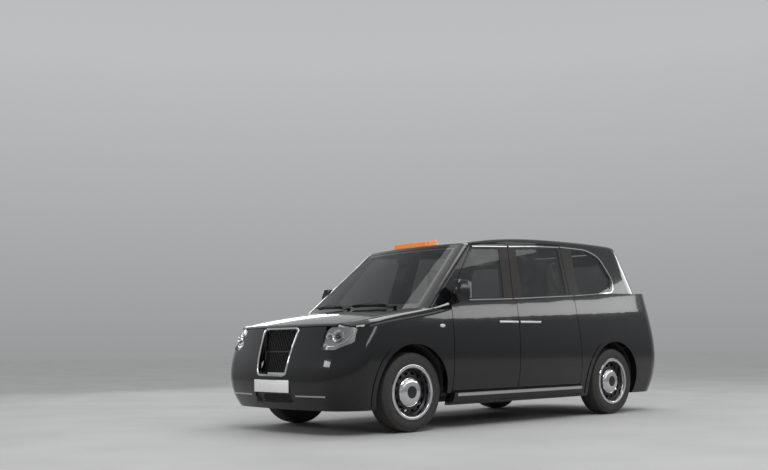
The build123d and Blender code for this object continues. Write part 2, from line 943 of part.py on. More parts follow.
# Rear axle beam and front knuckles, with their hub carriers and spindles
hub_face_y = track / 2 - 20
carrier_radius = 62
spindle_radius = 25
hub_gap = 6
spindle_end_y = hub_face_y + 40
beam_half_x = 60
beam_z = (tyre_radius - 75, tyre_radius + 55)
kingpin_bottom_z = 232
kingpin_length = 100
kingpin_radius = 26
with BuildPart() as rear_axle:
    add(box_between(rear_axle_x - beam_half_x, rear_axle_x + beam_half_x, 0, 640, *beam_z))
    add(hub_cylinder(rear_axle_x, carrier_radius, 600, hub_face_y - hub_gap))
    add(hub_cylinder(rear_axle_x, spindle_radius, 700, spindle_end_y))
    mirror(about=Plane.XZ)
save(rear_axle.part, "rear_axle")
with BuildPart() as knuckle:
    add(hub_cylinder(front_axle_x, carrier_radius, 690, hub_face_y - hub_gap))
    add(hub_cylinder(front_axle_x, spindle_radius, 700, spindle_end_y))
    with BuildSketch(Plane.XY.offset(kingpin_bottom_z)):
        with Locations((front_axle_x, kingpin_y - 40)):
            Circle(kingpin_radius)
    extrude(amount=kingpin_length)
save_pair(knuckle.part, "knuckle")

# Section of the steel wheel: distance outwards from its middle, and radius
rim_section = (
    (-104, 234),
    (-98, 234),
    (-98, 218.6),
    (-60, 216),
    (-50, 205),
    (40, 205),
    (55, 216),
    (98, 218.6),
    (98, 234),
    (104, 234),
    (104, 214),
    (60, 208),
    (48, 198),
    (62, 150),
    (60, 132),
    (84, 110),
    (92, 60),
    (92, 0.5),
    (46, 0.5),
    (46, 26),
    (-20, 26),
    (-20, 70),
    (40, 70),
    (48, 140),
    (36, 196),
    (-44, 197),
    (-54, 208),
    (-104, 214),
)
half_tyre = tyre_width / 2
hole_circle = 168
hole_length = 42
hole_width = 26
hole_depth = 60
dish_back_y = track / 2 + 30

# Wheels and tyres
for end, axle_x in (("front", front_axle_x), ("rear", rear_axle_x)):
    hub_plane = Plane(origin=(axle_x, track / 2, tyre_radius), x_dir=(0, 1, 0), z_dir=(1, 0, 0))
    spin_axis = Axis((axle_x, 0, tyre_radius), (0, 1, 0))
    with BuildPart() as tyre:
        with BuildSketch(hub_plane):
            with BuildLine():
                Polyline((-97, 235), (-97, 219), (97, 219), (97, 235))
                ThreePointArc((97, 235), (half_tyre, 284), (98, 334))
                ThreePointArc((98, 334), (93, 346), (82, 350))
                ThreePointArc((82, 350), (0, tyre_radius), (-82, 350))
                ThreePointArc((-82, 350), (-93, 346), (-98, 334))
                ThreePointArc((-98, 334), (-half_tyre, 284), (-97, 235))
            make_face()
        revolve(axis=spin_axis)
    save_pair(tyre.part, "tyre_" + end)
    with BuildPart() as road_wheel:
        with BuildSketch(hub_plane):
            with BuildLine():
                Polyline(*rim_section, close=True)
            make_face()
        revolve(axis=spin_axis)
        outer_face = Plane(origin=(axle_x, dish_back_y, tyre_radius), x_dir=(1, 0, 0), z_dir=(0, 1, 0))
        with BuildSketch(outer_face):
            with PolarLocations(hole_circle, wheel_hole_count):
                SlotOverall(hole_length, hole_width, rotation=90)
        extrude(amount=hole_depth, mode=Mode.SUBTRACT)
    save_pair(road_wheel.part, "wheel_" + end)
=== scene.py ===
"""Looks of a purpose-built taxi cab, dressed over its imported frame."""

import math

import bmesh
import bpy
from bpy.props import FloatProperty, FloatVectorProperty, IntProperty, PointerProperty
from bpy.types import Operator, Panel, PropertyGroup
from mathutils import Matrix, Vector
from mathutils.bvhtree import BVHTree


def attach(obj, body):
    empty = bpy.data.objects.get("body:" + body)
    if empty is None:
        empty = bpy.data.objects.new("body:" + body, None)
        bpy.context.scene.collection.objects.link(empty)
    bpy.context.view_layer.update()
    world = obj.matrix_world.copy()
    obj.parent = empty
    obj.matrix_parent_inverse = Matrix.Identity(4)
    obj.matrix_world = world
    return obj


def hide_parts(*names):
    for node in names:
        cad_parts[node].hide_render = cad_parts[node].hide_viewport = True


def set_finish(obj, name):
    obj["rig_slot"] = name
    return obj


bl_info = {
    "name": "Taxi cab dressing",
    "version": (1, 0, 0),
    "blender": (4, 5, 0),
    "location": "3D View > Sidebar > Cab",
    "description": "Paint, glass, trim, lamps, seats and tyre tread of a taxi cab",
    "category": "Object",
}

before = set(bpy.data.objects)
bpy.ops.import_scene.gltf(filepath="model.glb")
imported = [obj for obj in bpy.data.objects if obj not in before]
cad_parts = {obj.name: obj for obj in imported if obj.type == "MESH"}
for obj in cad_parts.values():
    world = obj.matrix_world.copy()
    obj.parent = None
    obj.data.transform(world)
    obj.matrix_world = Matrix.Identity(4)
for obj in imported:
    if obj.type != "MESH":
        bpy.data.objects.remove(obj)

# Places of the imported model

AXLE_X = (1.540, -1.445)
HUB_Z = 0.35575
TRACK_HALF = 0.800
BELT_Z = 1.090
CABIN_HALF = 0.885
CABIN_LEAN = 0.2667  # inward lean of the side glass for each metre of height
NOSE_X = 2.4284
NOSE_BOW = 4.580  # radius of the nose seen from above
NOSE_FOLD_Z = 0.920  # height where the nose begins to lean back
NOSE_LEAN = 0.28  # how far it leans for each metre above that
HANDLE_Z = 0.985
PLATE_Z = 0.422
GRILLE_FOOT_Z = 0.518
SEAT_Y = -0.370
BENCH_Y = (-0.350, 0.0, 0.350)
BLADE = [(-0.006, -0.005), (0.006, -0.005), (0.004, 0.004), (-0.004, 0.004)]
SIDES = (("left", 1), ("right", -1))
ENDS = ("front", "rear")
PAINTED = (
    "body_side_left body_side_right roof_panel front_wings front_bumper rear_bumper bonnet tailgate "
    "door_front_left door_front_right door_rear_left door_rear_right"
).split()


# Settings


class CabWheelSettings(PropertyGroup):
    """Sizes of the tyres' tread and the wheels' bright parts"""

    steps: IntProperty(
        name="Steps round",
        description="Divisions round a tyre",
        default=288,
        min=96,
    )
    groove: FloatProperty(
        name="Groove depth",
        description="Depth of the grooves round the tread",
        default=0.007,
        unit="LENGTH",
    )
    slot: FloatProperty(
        name="Slot depth",
        description="Depth of the slots across the tread",
        default=0.005,
        unit="LENGTH",
    )
    cap: FloatProperty(
        name="Hub cap radius",
        description="Outer radius of the bright hub cap",
        default=0.134,
        unit="LENGTH",
    )


class CabTrimSettings(PropertyGroup):
    """Sizes of the bright trim and the plates"""

    strip: FloatProperty(
        name="Strip width",
        description="Width of the bright line round the glass",
        default=0.012,
        unit="LENGTH",
    )
    strip_rise: FloatProperty(
        name="Strip rise",
        description="How far the bright line stands proud",
        default=0.004,
        unit="LENGTH",
    )
    plate_width: FloatProperty(
        name="Plate width",
        description="Width of a blank number plate",
        default=0.520,
        unit="LENGTH",
    )
    plate_height: FloatProperty(
        name="Plate height",
        description="Height of a blank number plate",
        default=0.111,
        unit="LENGTH",
    )


class CabColourSettings(PropertyGroup):
    """Colours that a user may change"""

    paint: FloatVectorProperty(
        name="Paint",
        description="Body colour",
        default=(0.0045, 0.0048, 0.0058),
        subtype="COLOR",
        min=0,
        max=1,
    )
    sign: FloatVectorProperty(
        name="Roof sign",
        description="Colour of the roof sign",
        default=(0.85, 0.24, 0.03),
        subtype="COLOR",
        min=0,
        max=1,
    )
    cloth: FloatVectorProperty(
        name="Seats",
        description="Colour of the seat covers",
        default=(0.035, 0.037, 0.045),
        subtype="COLOR",
        min=0,
        max=1,
    )
    handle: FloatVectorProperty(
        name="Grab handle",
        description="Colour of the grab handles",
        default=(0.80, 0.52, 0.02),
        subtype="COLOR",
        min=0,
        max=1,
    )
    glass: FloatProperty(
        name="Glass tint",
        description="How much the side glass hides",
        default=0.58,
        subtype="FACTOR",
        min=0,
        max=1,
    )


class CabViewSettings(PropertyGroup):
    """Where the camera stands"""

    place: FloatVectorProperty(
        name="Camera place",
        description="Where the camera stands",
        default=(7.510, 7.224, 0.772),
        subtype="TRANSLATION",
    )
    turn: FloatVectorProperty(
        name="Camera turn",
        description="Yaw, pitch and roll of the camera",
        default=(3.98406, 0.0067, -0.0118),
        subtype="EULER",
    )
    lens: FloatProperty(
        name="Lens",
        description="Focal length of the camera in millimetres",
        default=46.1,
    )
    rise: FloatProperty(
        name="Lens rise",
        description="Upward shift of the lens",
        default=0.1352,
    )


# Shader building


class Value:
    """A shader socket on which Python's operators add Math nodes."""

    def __init__(self, nodes, socket):
        self.nodes = nodes
        self.socket = socket

    def __add__(self, other):
        return self.nodes.maths("ADD", self, other)

    def __sub__(self, other):
        return self.nodes.maths("SUBTRACT", self, other)

    def __rsub__(self, other):
        return self.nodes.maths("SUBTRACT", other, self)

    def __mul__(self, other):
        return self.nodes.maths("MULTIPLY", self, other)

    def __gt__(self, other):
        return self.nodes.maths("GREATER_THAN", self, other)

    def __lt__(self, other):
        return self.nodes.maths("LESS_THAN", self, other)

    def __abs__(self):
        return self.nodes.maths("ABSOLUTE", self)

    __radd__ = __add__
    __rmul__ = __mul__


class Nodes:
    """A node tree, built node by node."""

    def __init__(self, tree, coordinates):
        self.tree = tree
        self.place = self.node("ShaderNodeTexCoord", output=coordinates)

    def node(self, kind, settings=None, inputs=None, output=0):
        """Add a node with its settings, then the values or links of its sockets."""
        made = self.tree.nodes.new(kind)
        for name, value in (settings or {}).items():
            if name == "stops":
                self.stops(made, value)
            else:
                setattr(made, name, value)
        for name, value in (inputs or {}).items():
            self.feed(made.inputs[name], value)
        return Value(self, made.outputs[output])

    def stops(self, ramp, stops):
        """Give a colour ramp its stops, each a position and a colour."""
        elements = ramp.color_ramp.elements
        while len(elements) < len(stops):
            elements.new(1.0)
        for element, (position, colour) in zip(elements, stops):
            element.position = position
            element.color = colour

    def feed(self, socket, value):
        """Link a socket to a value of the tree, or set it to a plain one."""
        if isinstance(value, Value):
            self.tree.links.new(value.socket, socket)
        else:
            socket.default_value = value

    def maths(self, operation, first, second=None):
        """A Math node on one or two values."""
        inputs = {0: first}
        if second is not None:
            inputs[1] = second
        return self.node("ShaderNodeMath", {"operation": operation}, inputs)

    def axis(self, letter):
        """One coordinate of the tree's own space."""
        return self.node("ShaderNodeSeparateXYZ", inputs={0: self.place}, output=letter)

    def noise(self, scale, detail=3.0, rough=0.5):
        """Noise from 0 to 1 at a scale in cycles per metre."""
        return self.node(
            "ShaderNodeTexNoise",
            inputs={"Vector": self.place, "Scale": scale, "Detail": detail, "Roughness": rough},
        )

    def between(self, value, low, high, bottom=0.0, top=1.0):
        """Smoothly carry a value from one range to another."""
        return self.node(
            "ShaderNodeMapRange",
            {"interpolation_type": "SMOOTHSTEP"},
            {"Value": value, "From Min": low, "From Max": high, "To Min": bottom, "To Max": top},
        )

    def blend(self, factor, first, second):
        """Mix two colours."""
        return self.node(
            "ShaderNodeMix", {"data_type": "RGBA"}, {0: factor, 6: first, 7: second}, output=2
        )

    def cells(self, scale):
        """Distance to the middle of the nearest of some scattered cells."""
        return self.node("ShaderNodeTexVoronoi", inputs={"Vector": self.place, "Scale": scale})

    def either(self, *masks):
        """The highest of some masks."""
        highest = masks[0]
        for mask in masks[1:]:
            highest = self.maths("MAXIMUM", highest, mask)
        return highest

    def bump(self, height, strength, distance):
        """A surface direction tilted by a height."""
        return self.node(
            "ShaderNodeBump",
            inputs={"Strength": strength, "Distance": distance, "Height": height},
            output="Normal",
        )


class Finish(Nodes):
    """One material, whose patterns follow the object's own coordinates."""

    def __init__(self, name):
        self.material = bpy.data.materials.new(name)
        self.material.use_nodes = True
        super().__init__(self.material.node_tree, "Object")
        self.shader = self.tree.nodes["Principled BSDF"]

    def set(self, **sockets):
        """Set the shader's own sockets by their names, with underscores for spaces."""
        for name, value in sockets.items():
            socket = name.replace("_", " ").title().replace("Ior", "IOR")
            self.feed(self.shader.inputs[socket], value)


def rgb(colour, gain=1.0, lift=0.0):
    """A colour with its fourth number, made lighter by a gain and a lift."""
    return (*(level * gain + lift for level in colour), 1.0)


def grey(level):
    """A grey with its fourth number."""
    return (level, level, level, 1.0)


# Mesh building


def finished(work, name, body, slot, material=None, replaces=(), smooth=32):
    """Turn a bmesh into a piece that rides on a body, of its slot's material unless one is named."""
    mesh = bpy.data.meshes.new(name)
    work.to_mesh(mesh)
    work.free()
    mesh.materials.append(bpy.data.materials[material or slot])
    mesh.shade_smooth()
    mesh.set_sharp_from_angle(angle=math.radians(smooth))
    piece = bpy.data.objects.new(name, mesh)
    bpy.context.scene.collection.objects.link(piece)
    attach(piece, body)
    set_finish(piece, slot)
    if replaces:
        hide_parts(*replaces)
    return piece


def mirrored(piece, name, body, replaces=()):
    """The same piece on the other side of the cab."""
    work = bmesh.new()
    work.from_mesh(piece.data)
    bmesh.ops.scale(work, vec=(1, -1, 1), verts=work.verts)
    bmesh.ops.reverse_faces(work, faces=work.faces)
    return finished(work, name, body, piece["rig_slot"], piece.data.materials[0].name, replaces)


def paired(work, name, body, slot, material=None):
    """A piece on the left, where body is the left one, and its mirror image on the right."""
    left = finished(work, name + "_left", body, slot, material)
    mirrored(left, name + "_right", body.replace("_left", "_right"))


def rounded(work, edges, width, segments):
    """Round some edges."""
    bmesh.ops.bevel(
        work,
        geom=edges,
        offset=width,
        affect="EDGES",
        segments=segments,
        profile=0.5,
        material=-1,
        clamp_overlap=True,
    )


def soften(work, width, segments=2):
    """Round every edge that is sharper than 30 degrees."""
    sharp = [edge for edge in work.edges if edge.calc_face_angle(0) > math.radians(30)]
    rounded(work, sharp, width, segments)


def outward(work):
    """Merge doubles and turn every face outwards."""
    bmesh.ops.remove_doubles(work, verts=work.verts, dist=1e-6)
    bmesh.ops.recalc_face_normals(work, faces=work.faces)


def block(work, centre, size, turn=None, width=0.0, segments=2):
    """Add a box with rounded edges, turned about its centre."""
    part = bmesh.new()
    bmesh.ops.create_cube(part, size=1)
    bmesh.ops.scale(part, vec=size, verts=part.verts)
    if width:
        soften(part, width, segments)
    if turn is not None:
        bmesh.ops.rotate(part, cent=(0, 0, 0), matrix=turn, verts=part.verts)
    bmesh.ops.translate(part, vec=centre, verts=part.verts)
    join(work, part)


def join(work, part):
    """Move the geometry of one bmesh into another."""
    mesh = bpy.data.meshes.new("joined")
    part.to_mesh(mesh)
    part.free()
    work.from_mesh(mesh)
    bpy.data.meshes.remove(mesh)


def turned(work, profile, centre, steps, closed=True):
    """Spin a profile of (across, radius) points about a line along Y through a centre."""
    x, y, z = centre
    points = [work.verts.new((x, y + across, z - radius)) for across, radius in profile]
    edges = [work.edges.new(pair) for pair in zip(points, points[1:])]
    if closed:
        edges.append(work.edges.new((points[-1], points[0])))
    bmesh.ops.spin(
        work,
        geom=points + edges,
        cent=centre,
        axis=(0, 1, 0),
        angle=math.tau,
        steps=steps,
        use_merge=True,
    )
    outward(work)


def sweep(work, points, normals, profile, closed=False):
    """Draw a profile of (sideways, up) points along a run of points, up being the normal."""
    frames = []
    count = len(points)
    for index, point in enumerate(points):
        before = points[index - 1] if index or closed else points[0]
        after = points[(index + 1) % count] if index < count - 1 or closed else points[-1]
        coming = (point - before).normalized() if point != before else (after - point).normalized()
        going = (after - point).normalized() if after != point else coming
        along = (coming + going).normalized()
        side = normals[index].cross(along).normalized()
        up = along.cross(side)
        mitre = min(1.0 / max(along.dot(coming), 0.5), 1.6)
        matrix = Matrix((side * mitre, up, along)).transposed().to_4x4()
        matrix.translation = point
        frames.append(matrix)
    ring = [work.verts.new(frames[0] @ Vector((sideways, rise, 0))) for sideways, rise in profile]
    edges = [work.edges.new((ring[i - 1], ring[i])) for i in range(len(ring))]
    first = list(edges)
    order = frames[1:] + ([frames[0]] if closed else [])
    held = frames[0]
    for matrix in order:
        made = bmesh.ops.extrude_edge_only(work, edges=edges)["geom"]
        verts = [part for part in made if isinstance(part, bmesh.types.BMVert)]
        edges = [
            part
            for part in made
            if isinstance(part, bmesh.types.BMEdge) and all(vert in verts for vert in part.verts)
        ]
        bmesh.ops.transform(work, matrix=matrix @ held.inverted(), verts=verts)
        held = matrix
    if not closed:
        bmesh.ops.contextual_create(work, geom=first)
        bmesh.ops.contextual_create(work, geom=edges)
    outward(work)


def round_profile(wide, high, count):
    """Points of an ellipse."""
    turns = [math.tau * step / count for step in range(count)]
    return [(wide * math.cos(turn), high * math.sin(turn)) for turn in turns]


def strip_profile(wide, high):
    """A low strip with rounded shoulders, sunk a little into what carries it."""
    half = wide / 2
    return [
        (-half, -0.003),
        (half, -0.003),
        (half, high * 0.55),
        (half * 0.7, high),
        (-half * 0.7, high),
        (-half, high * 0.55),
    ]


def rounded_path(corners, radius, steps=5):
    """A run of points with each inner corner rounded off."""
    run = [corners[0]]
    for before, corner, after in zip(corners, corners[1:], corners[2:]):
        reach = min(radius, (corner - before).length / 2.1, (after - corner).length / 2.1)
        start = corner + (before - corner).normalized() * reach
        end = corner + (after - corner).normalized() * reach
        for step in range(steps + 1):
            share = step / steps
            run.append(start.lerp(corner, share).lerp(corner.lerp(end, share), share))
    run.append(corners[-1])
    return run


class Skin:
    """The surface of some CAD nodes, found by casting rays at it from outside."""

    def __init__(self, *nodes):
        work = bmesh.new()
        for node in nodes:
            work.from_mesh(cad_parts[node].data)
        self.tree = BVHTree.FromBMesh(work)
        work.free()

    def hit(self, start, direction):
        """The first point of the surface along a ray, with its normal facing the start."""
        point, normal, *_ = self.tree.ray_cast(Vector(start), Vector(direction))
        if point is None:
            raise ValueError(f"no surface from {start}")
        if normal.dot(Vector(direction)) > 0:
            normal = -normal
        return point, normal

    def side(self, x, z):
        """A point on the left side."""
        return self.hit((x, 2, z), (0, -1, 0))

    def front(self, y, z):
        """A point seen from ahead."""
        return self.hit((4, y, z), (-1, 0, 0))

    def rear(self, y, z):
        """A point seen from behind."""
        return self.hit((-4, y, z), (1, 0, 0))


def laid(hits, lift=0.0):
    """Points and normals of some hits, lifted off the surface."""
    return [point + normal * lift for point, normal in hits], [normal for point, normal in hits]


def lay(work, hits, profile, lift=0.0):
    """Draw a profile along some hits of a skin."""
    path, normals = laid(hits, lift)
    sweep(work, path, normals, profile)


def bulge(hit, size, rings):
    """A flattened ball that lies on a skin, its second size standing up from it."""
    middle, normal = hit
    work = bmesh.new()
    bmesh.ops.create_uvsphere(work, u_segments=28, v_segments=rings, radius=1.0)
    bmesh.ops.scale(work, vec=size, verts=work.verts)
    turn = Vector((0, 1, 0)).rotation_difference(normal).to_matrix()
    bmesh.ops.rotate(work, cent=(0, 0, 0), matrix=turn, verts=work.verts)
    bmesh.ops.translate(work, vec=middle, verts=work.verts)
    return work


def cabin_point(x, z):
    """A point a millimetre off the left side plane of the glasshouse."""
    return Vector((x, CABIN_HALF - CABIN_LEAN * (z - BELT_Z) + 0.001, z))


CABIN_NORMAL = Vector((0, 1, CABIN_LEAN)).normalized()


# Finishes of the CAD nodes and of the new pieces


def paint(name, colour):
    """Deep gloss paint, satin on the posts between the windows, with road dust low down."""
    made = Finish(name)
    height = made.axis("Z")
    along = made.axis("X")
    dust = made.between(height, 0.70, 0.15) * made.between(made.noise(9, 5, 0.6), 0.35, 0.75)
    glass_foot = along * -0.047 + 1.222
    glass_head = along * -0.050 + 1.748
    post = (height > glass_foot) * (height < glass_head)
    post = post * (along > -0.99) * (along < 0.60) * (abs(made.axis("Y")) > 0.65)
    tone = made.blend(made.noise(2.2, 2) * 0.5, rgb(colour), rgb(colour, 1.5))
    tone = made.blend(post, tone, (0.022, 0.020, 0.019, 1))
    gloss = made.between(made.noise(38, 4), 0.3, 0.7, 0.08, 0.12)
    made.set(
        base_color=made.blend(dust * 0.10, tone, (0.10, 0.085, 0.065, 1)),
        roughness=gloss + dust * 0.22 + post * 0.25,
        coat_weight=1.0 - dust * 0.3 - post * 0.85,
        normal=made.bump(made.noise(240, 2, 0.4), 0.04, 0.0006),
    )
    made.set(coat_roughness=0.02, coat_ior=1.38, ior=1.5, specular_ior_level=0.15)


def glazing(name, tint, hides, frit=None):
    """Tinted glass whose border band, where one is given, is printed black."""
    made = Finish(name)
    dirt = made.between(made.noise(6, 5, 0.6), 0.45, 0.8)
    base = made.blend(dirt * 0.10, rgb(tint), grey(0.25))
    alpha = dirt * 0.03 + hides
    if frit is not None:
        band = frit(made)
        base = made.blend(band, base, grey(0.006))
        alpha = made.either(alpha, band)
    made.set(base_color=base, alpha=alpha, roughness=dirt * 0.05 + 0.015)
    made.set(ior=1.52, coat_weight=0.6, coat_roughness=0.01)


def frame_band(made, foot, half, lean, width, low, high):
    """The border of a window: half its width at the foot, leaning in above, clear from low to high."""
    height = made.axis("Z")
    edge = (height - foot) * -lean + half
    beside = abs(made.axis("Y")) > (edge - width)
    return made.either(beside, height < low, height > high)


def fixed_frit(made):
    """Black border of the windscreen, and the dark roof window."""
    along = made.axis("X")
    screen = frame_band(
        made, foot=1.092, half=0.810, lean=0.2724, width=0.030, low=1.150, high=1.690
    )
    screen = screen * (along > 0.40)
    roof = (along < 0.30) * (abs(made.axis("Y")) < 0.45)
    return made.either(screen, roof)


def tail_frit(made):
    """Black border of the rear window."""
    return frame_band(made, foot=1.300, half=0.585, lean=0.154, width=0.028, low=1.345, high=1.680)


def bright(name, rough=0.05, level=0.62):
    """Chromed metal, a little hazed."""
    made = Finish(name)
    haze = made.between(made.noise(28, 5, 0.6), 0.4, 0.8)
    made.set(
        base_color=made.blend(haze * 0.4, (level, level, level * 1.02, 1), grey(level * 0.8)),
        metallic=1.0,
        roughness=haze * 0.08 + rough,
        normal=made.bump(made.noise(60, 2), 0.02, 0.0005),
    )


def moulded(name, colour, rough=0.5, grain=900.0, depth=0.0004):
    """Moulded plastic with a fine grain."""
    made = Finish(name)
    wear = made.between(made.noise(14, 5, 0.6), 0.4, 0.8)
    made.set(
        base_color=made.blend(wear * 0.35, rgb(colour), rgb(colour, 1.7, 0.004)),
        roughness=wear * 0.14 + rough,
        normal=made.bump(made.cells(grain), 0.35, depth),
    )


def metal(name, colour, rough, rust=0.0):
    """Cast or pressed metal with patches and a rough skin."""
    made = Finish(name)
    patch = made.between(made.noise(11, 6, 0.65), 0.42, 0.72)
    made.set(
        base_color=made.blend(patch * (0.25 + rust), rgb(colour), (0.13, 0.085, 0.055, 1)),
        metallic=1.0 - patch * (0.3 + rust),
        roughness=patch * 0.25 + rough,
        normal=made.bump(made.noise(160, 3), 0.25, 0.0008),
    )


def rubber(name):
    """Tyre rubber, dusty grey on the tread and ribbed on the sidewall."""
    made = Finish(name)
    height = made.axis("Z") - HUB_Z
    along = made.axis("X")
    nearer = made.maths("MINIMUM", abs(along - AXLE_X[0]), abs(along - AXLE_X[1]))
    radius = made.maths("SQRT", nearer * nearer + height * height)
    tread = made.between(radius, 0.335, 0.352)
    dust = made.between(made.noise(30, 5, 0.6), 0.35, 0.75)
    ribs = made.maths("SINE", radius * 1500.0)
    sidewall = made.between(radius, 0.318, 0.312) * made.between(radius, 0.284, 0.290)
    black = (0.012, 0.012, 0.0125, 1)
    made.set(
        base_color=made.blend(tread * 0.4 + dust * 0.4, black, (0.060, 0.053, 0.045, 1)),
        roughness=dust * 0.12 + 0.55 + tread * 0.16,
        normal=made.bump(ribs * sidewall * 0.5 + made.noise(350, 2) * 0.5, 0.35, 0.0012),
    )


def cloth(name, colour):
    """Woven seat cover with its threads crossing."""
    made = Finish(name)
    threads = 3400.0
    across = made.maths("SINE", made.axis("Y") * threads)
    down = made.maths("SINE", (made.axis("Z") + made.axis("X")) * threads)
    weave = across * down
    fade = made.between(made.noise(7, 4), 0.35, 0.75)
    worn = fade * 0.3 + made.between(weave, -1.0, 1.0) * 0.3
    made.set(
        base_color=made.blend(worn, rgb(colour), rgb(colour, 2.4)),
        roughness=fade * 0.08 + 0.86,
        normal=made.bump(weave, 0.3, 0.0008),
    )
    made.set(sheen_weight=0.25, sheen_roughness=0.5)


def lamp_red(name):
    """Red lamp cover with fine upright ribs."""
    made = Finish(name)
    ribs = made.maths("SINE", made.axis("Y") * 900.0)
    bands = made.between(made.maths("SINE", made.axis("Z") * 42.0), 0.55, 0.85)
    made.set(
        base_color=made.blend(bands, (0.17, 0.002, 0.003, 1), (0.26, 0.014, 0.010, 1)),
        roughness=made.between(made.noise(40, 3), 0.3, 0.7, 0.05, 0.12),
        normal=made.bump(ribs, 0.12, 0.001),
    )
    made.set(coat_weight=0.6, coat_roughness=0.03, specular_ior_level=0.3)


def sign_cover(name, colour):
    """Amber roof sign cover, lit a little from inside and ribbed along its face."""
    made = Finish(name)
    glow = made.between(abs(made.axis("Y")), 0.30, 0.05)
    ribs = made.maths("SINE", made.axis("Y") * 700.0)
    lit = [min(1.0, level * 1.25 + 0.01) for level in colour]
    tone = made.blend(glow * 0.5, rgb(colour), rgb(lit))
    made.set(
        base_color=tone,
        emission_color=tone,
        roughness=made.between(made.noise(30, 3), 0.3, 0.7, 0.14, 0.22),
        normal=made.bump(ribs, 0.08, 0.0008),
    )
    made.set(emission_strength=0.12, coat_weight=0.7, coat_roughness=0.05)


def clear_cover(name, hides):
    """Clear lamp cover with a fine haze."""
    made = Finish(name)
    haze = made.between(made.noise(50, 4), 0.4, 0.8)
    made.set(
        base_color=made.blend(haze * 0.4, grey(0.14), grey(0.24)),
        alpha=haze * 0.02 + hides,
        roughness=haze * 0.03 + 0.01,
    )
    made.set(ior=1.5, coat_weight=1.0, coat_roughness=0.01)


def plate_face(name, colour):
    """Blank reflective plate with a fine honeycomb under its face."""
    made = Finish(name)
    grime = made.between(made.noise(18, 5, 0.6), 0.5, 0.85)
    made.set(
        base_color=made.blend(grime * 0.25, rgb(colour), (0.35, 0.32, 0.27, 1)),
        roughness=grime * 0.2 + 0.24,
        normal=made.bump(made.cells(420.0), 0.12, 0.0003),
    )
    made.set(coat_weight=0.5, coat_roughness=0.08)


# Operators


class CabFinishes(Operator):
    """Make every finish and give one to each CAD node"""

    bl_idname = "cab.finishes"
    bl_label = "Finishes"

    def execute(self, context):
        colours = context.scene.cab_colours
        # The frame's plain materials bear the slots' names, which the finishes need
        for plain in list(bpy.data.materials):
            bpy.data.materials.remove(plain)
        paint("paint_black", colours.paint)
        glazing("glass_side", (0.004, 0.007, 0.008), colours.glass)
        glazing("glass_fixed", (0.004, 0.007, 0.008), colours.glass - 0.18, fixed_frit)
        glazing("glass_tail", (0.004, 0.006, 0.007), colours.glass + 0.06, tail_frit)
        glazing("glass_partition", (0.02, 0.025, 0.025), 0.12)
        glazing("mirror_glass", (0.35, 0.37, 0.38), 0.95)
        bright("chrome")
        bright("chrome_satin", 0.16, 0.5)
        bright("lamp_bowl", 0.20, 0.34)
        moulded("black_plastic", (0.012, 0.012, 0.013))
        moulded("gloss_black_plastic", (0.007, 0.007, 0.008), 0.12, 260.0, 0.0001)
        moulded("grille_black", (0.009, 0.009, 0.010), 0.26, 600.0, 0.0001)
        moulded("underbody", (0.028, 0.028, 0.030), 0.75, 220.0, 0.0015)
        moulded("grab_yellow", colours.handle, 0.35, 500.0, 0.0002)
        metal("cast_metal", (0.16, 0.16, 0.165), 0.42, 0.2)
        metal("wheel_dark", (0.035, 0.035, 0.038), 0.34)
        metal("brake_steel", (0.32, 0.32, 0.33), 0.30, 0.1)
        rubber("tyre_rubber")
        cloth("seat_cloth", colours.cloth)
        lamp_red("lamp_red")
        sign_cover("sign_orange", colours.sign)
        clear_cover("lamp_clear", 0.07)
        moulded("repeater_white", (0.55, 0.55, 0.56), 0.12, 300.0, 0.0003)
        plate_face("plate_white", (0.80, 0.80, 0.79))
        given = {name: "paint_black" for name in PAINTED}
        given.update(
            fixed_glass="glass_fixed",
            tailgate_glass="glass_tail",
            grille_surround="chrome",
            grille="grille_black",
            headlamps="lamp_clear",
            tail_lamps="lamp_red",
            roof_sign="sign_orange",
            cowl="black_plastic",
            sill_steps="gloss_black_plastic",
            dashboard="black_plastic",
            partition="black_plastic",
            steering_wheel="black_plastic",
            driver_seat="seat_cloth",
            rear_bench="seat_cloth",
            engine="cast_metal",
            battery="underbody",
            platform="underbody",
            wheel_houses="underbody",
            front_suspension="cast_metal",
            rear_axle="cast_metal",
        )
        for side, _ in SIDES:
            given["door_front_glass_" + side] = "glass_side"
            given["door_rear_glass_" + side] = "glass_side"
            given["door_mirror_" + side] = "gloss_black_plastic"
            given["knuckle_" + side] = "cast_metal"
            for end in ENDS:
                given[f"wheel_{end}_{side}"] = "wheel_dark"
                given[f"tyre_{end}_{side}"] = "tyre_rubber"
        for node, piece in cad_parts.items():
            piece.data.materials.clear()
            piece.data.materials.append(bpy.data.materials[given[node]])
        return {"FINISHED"}


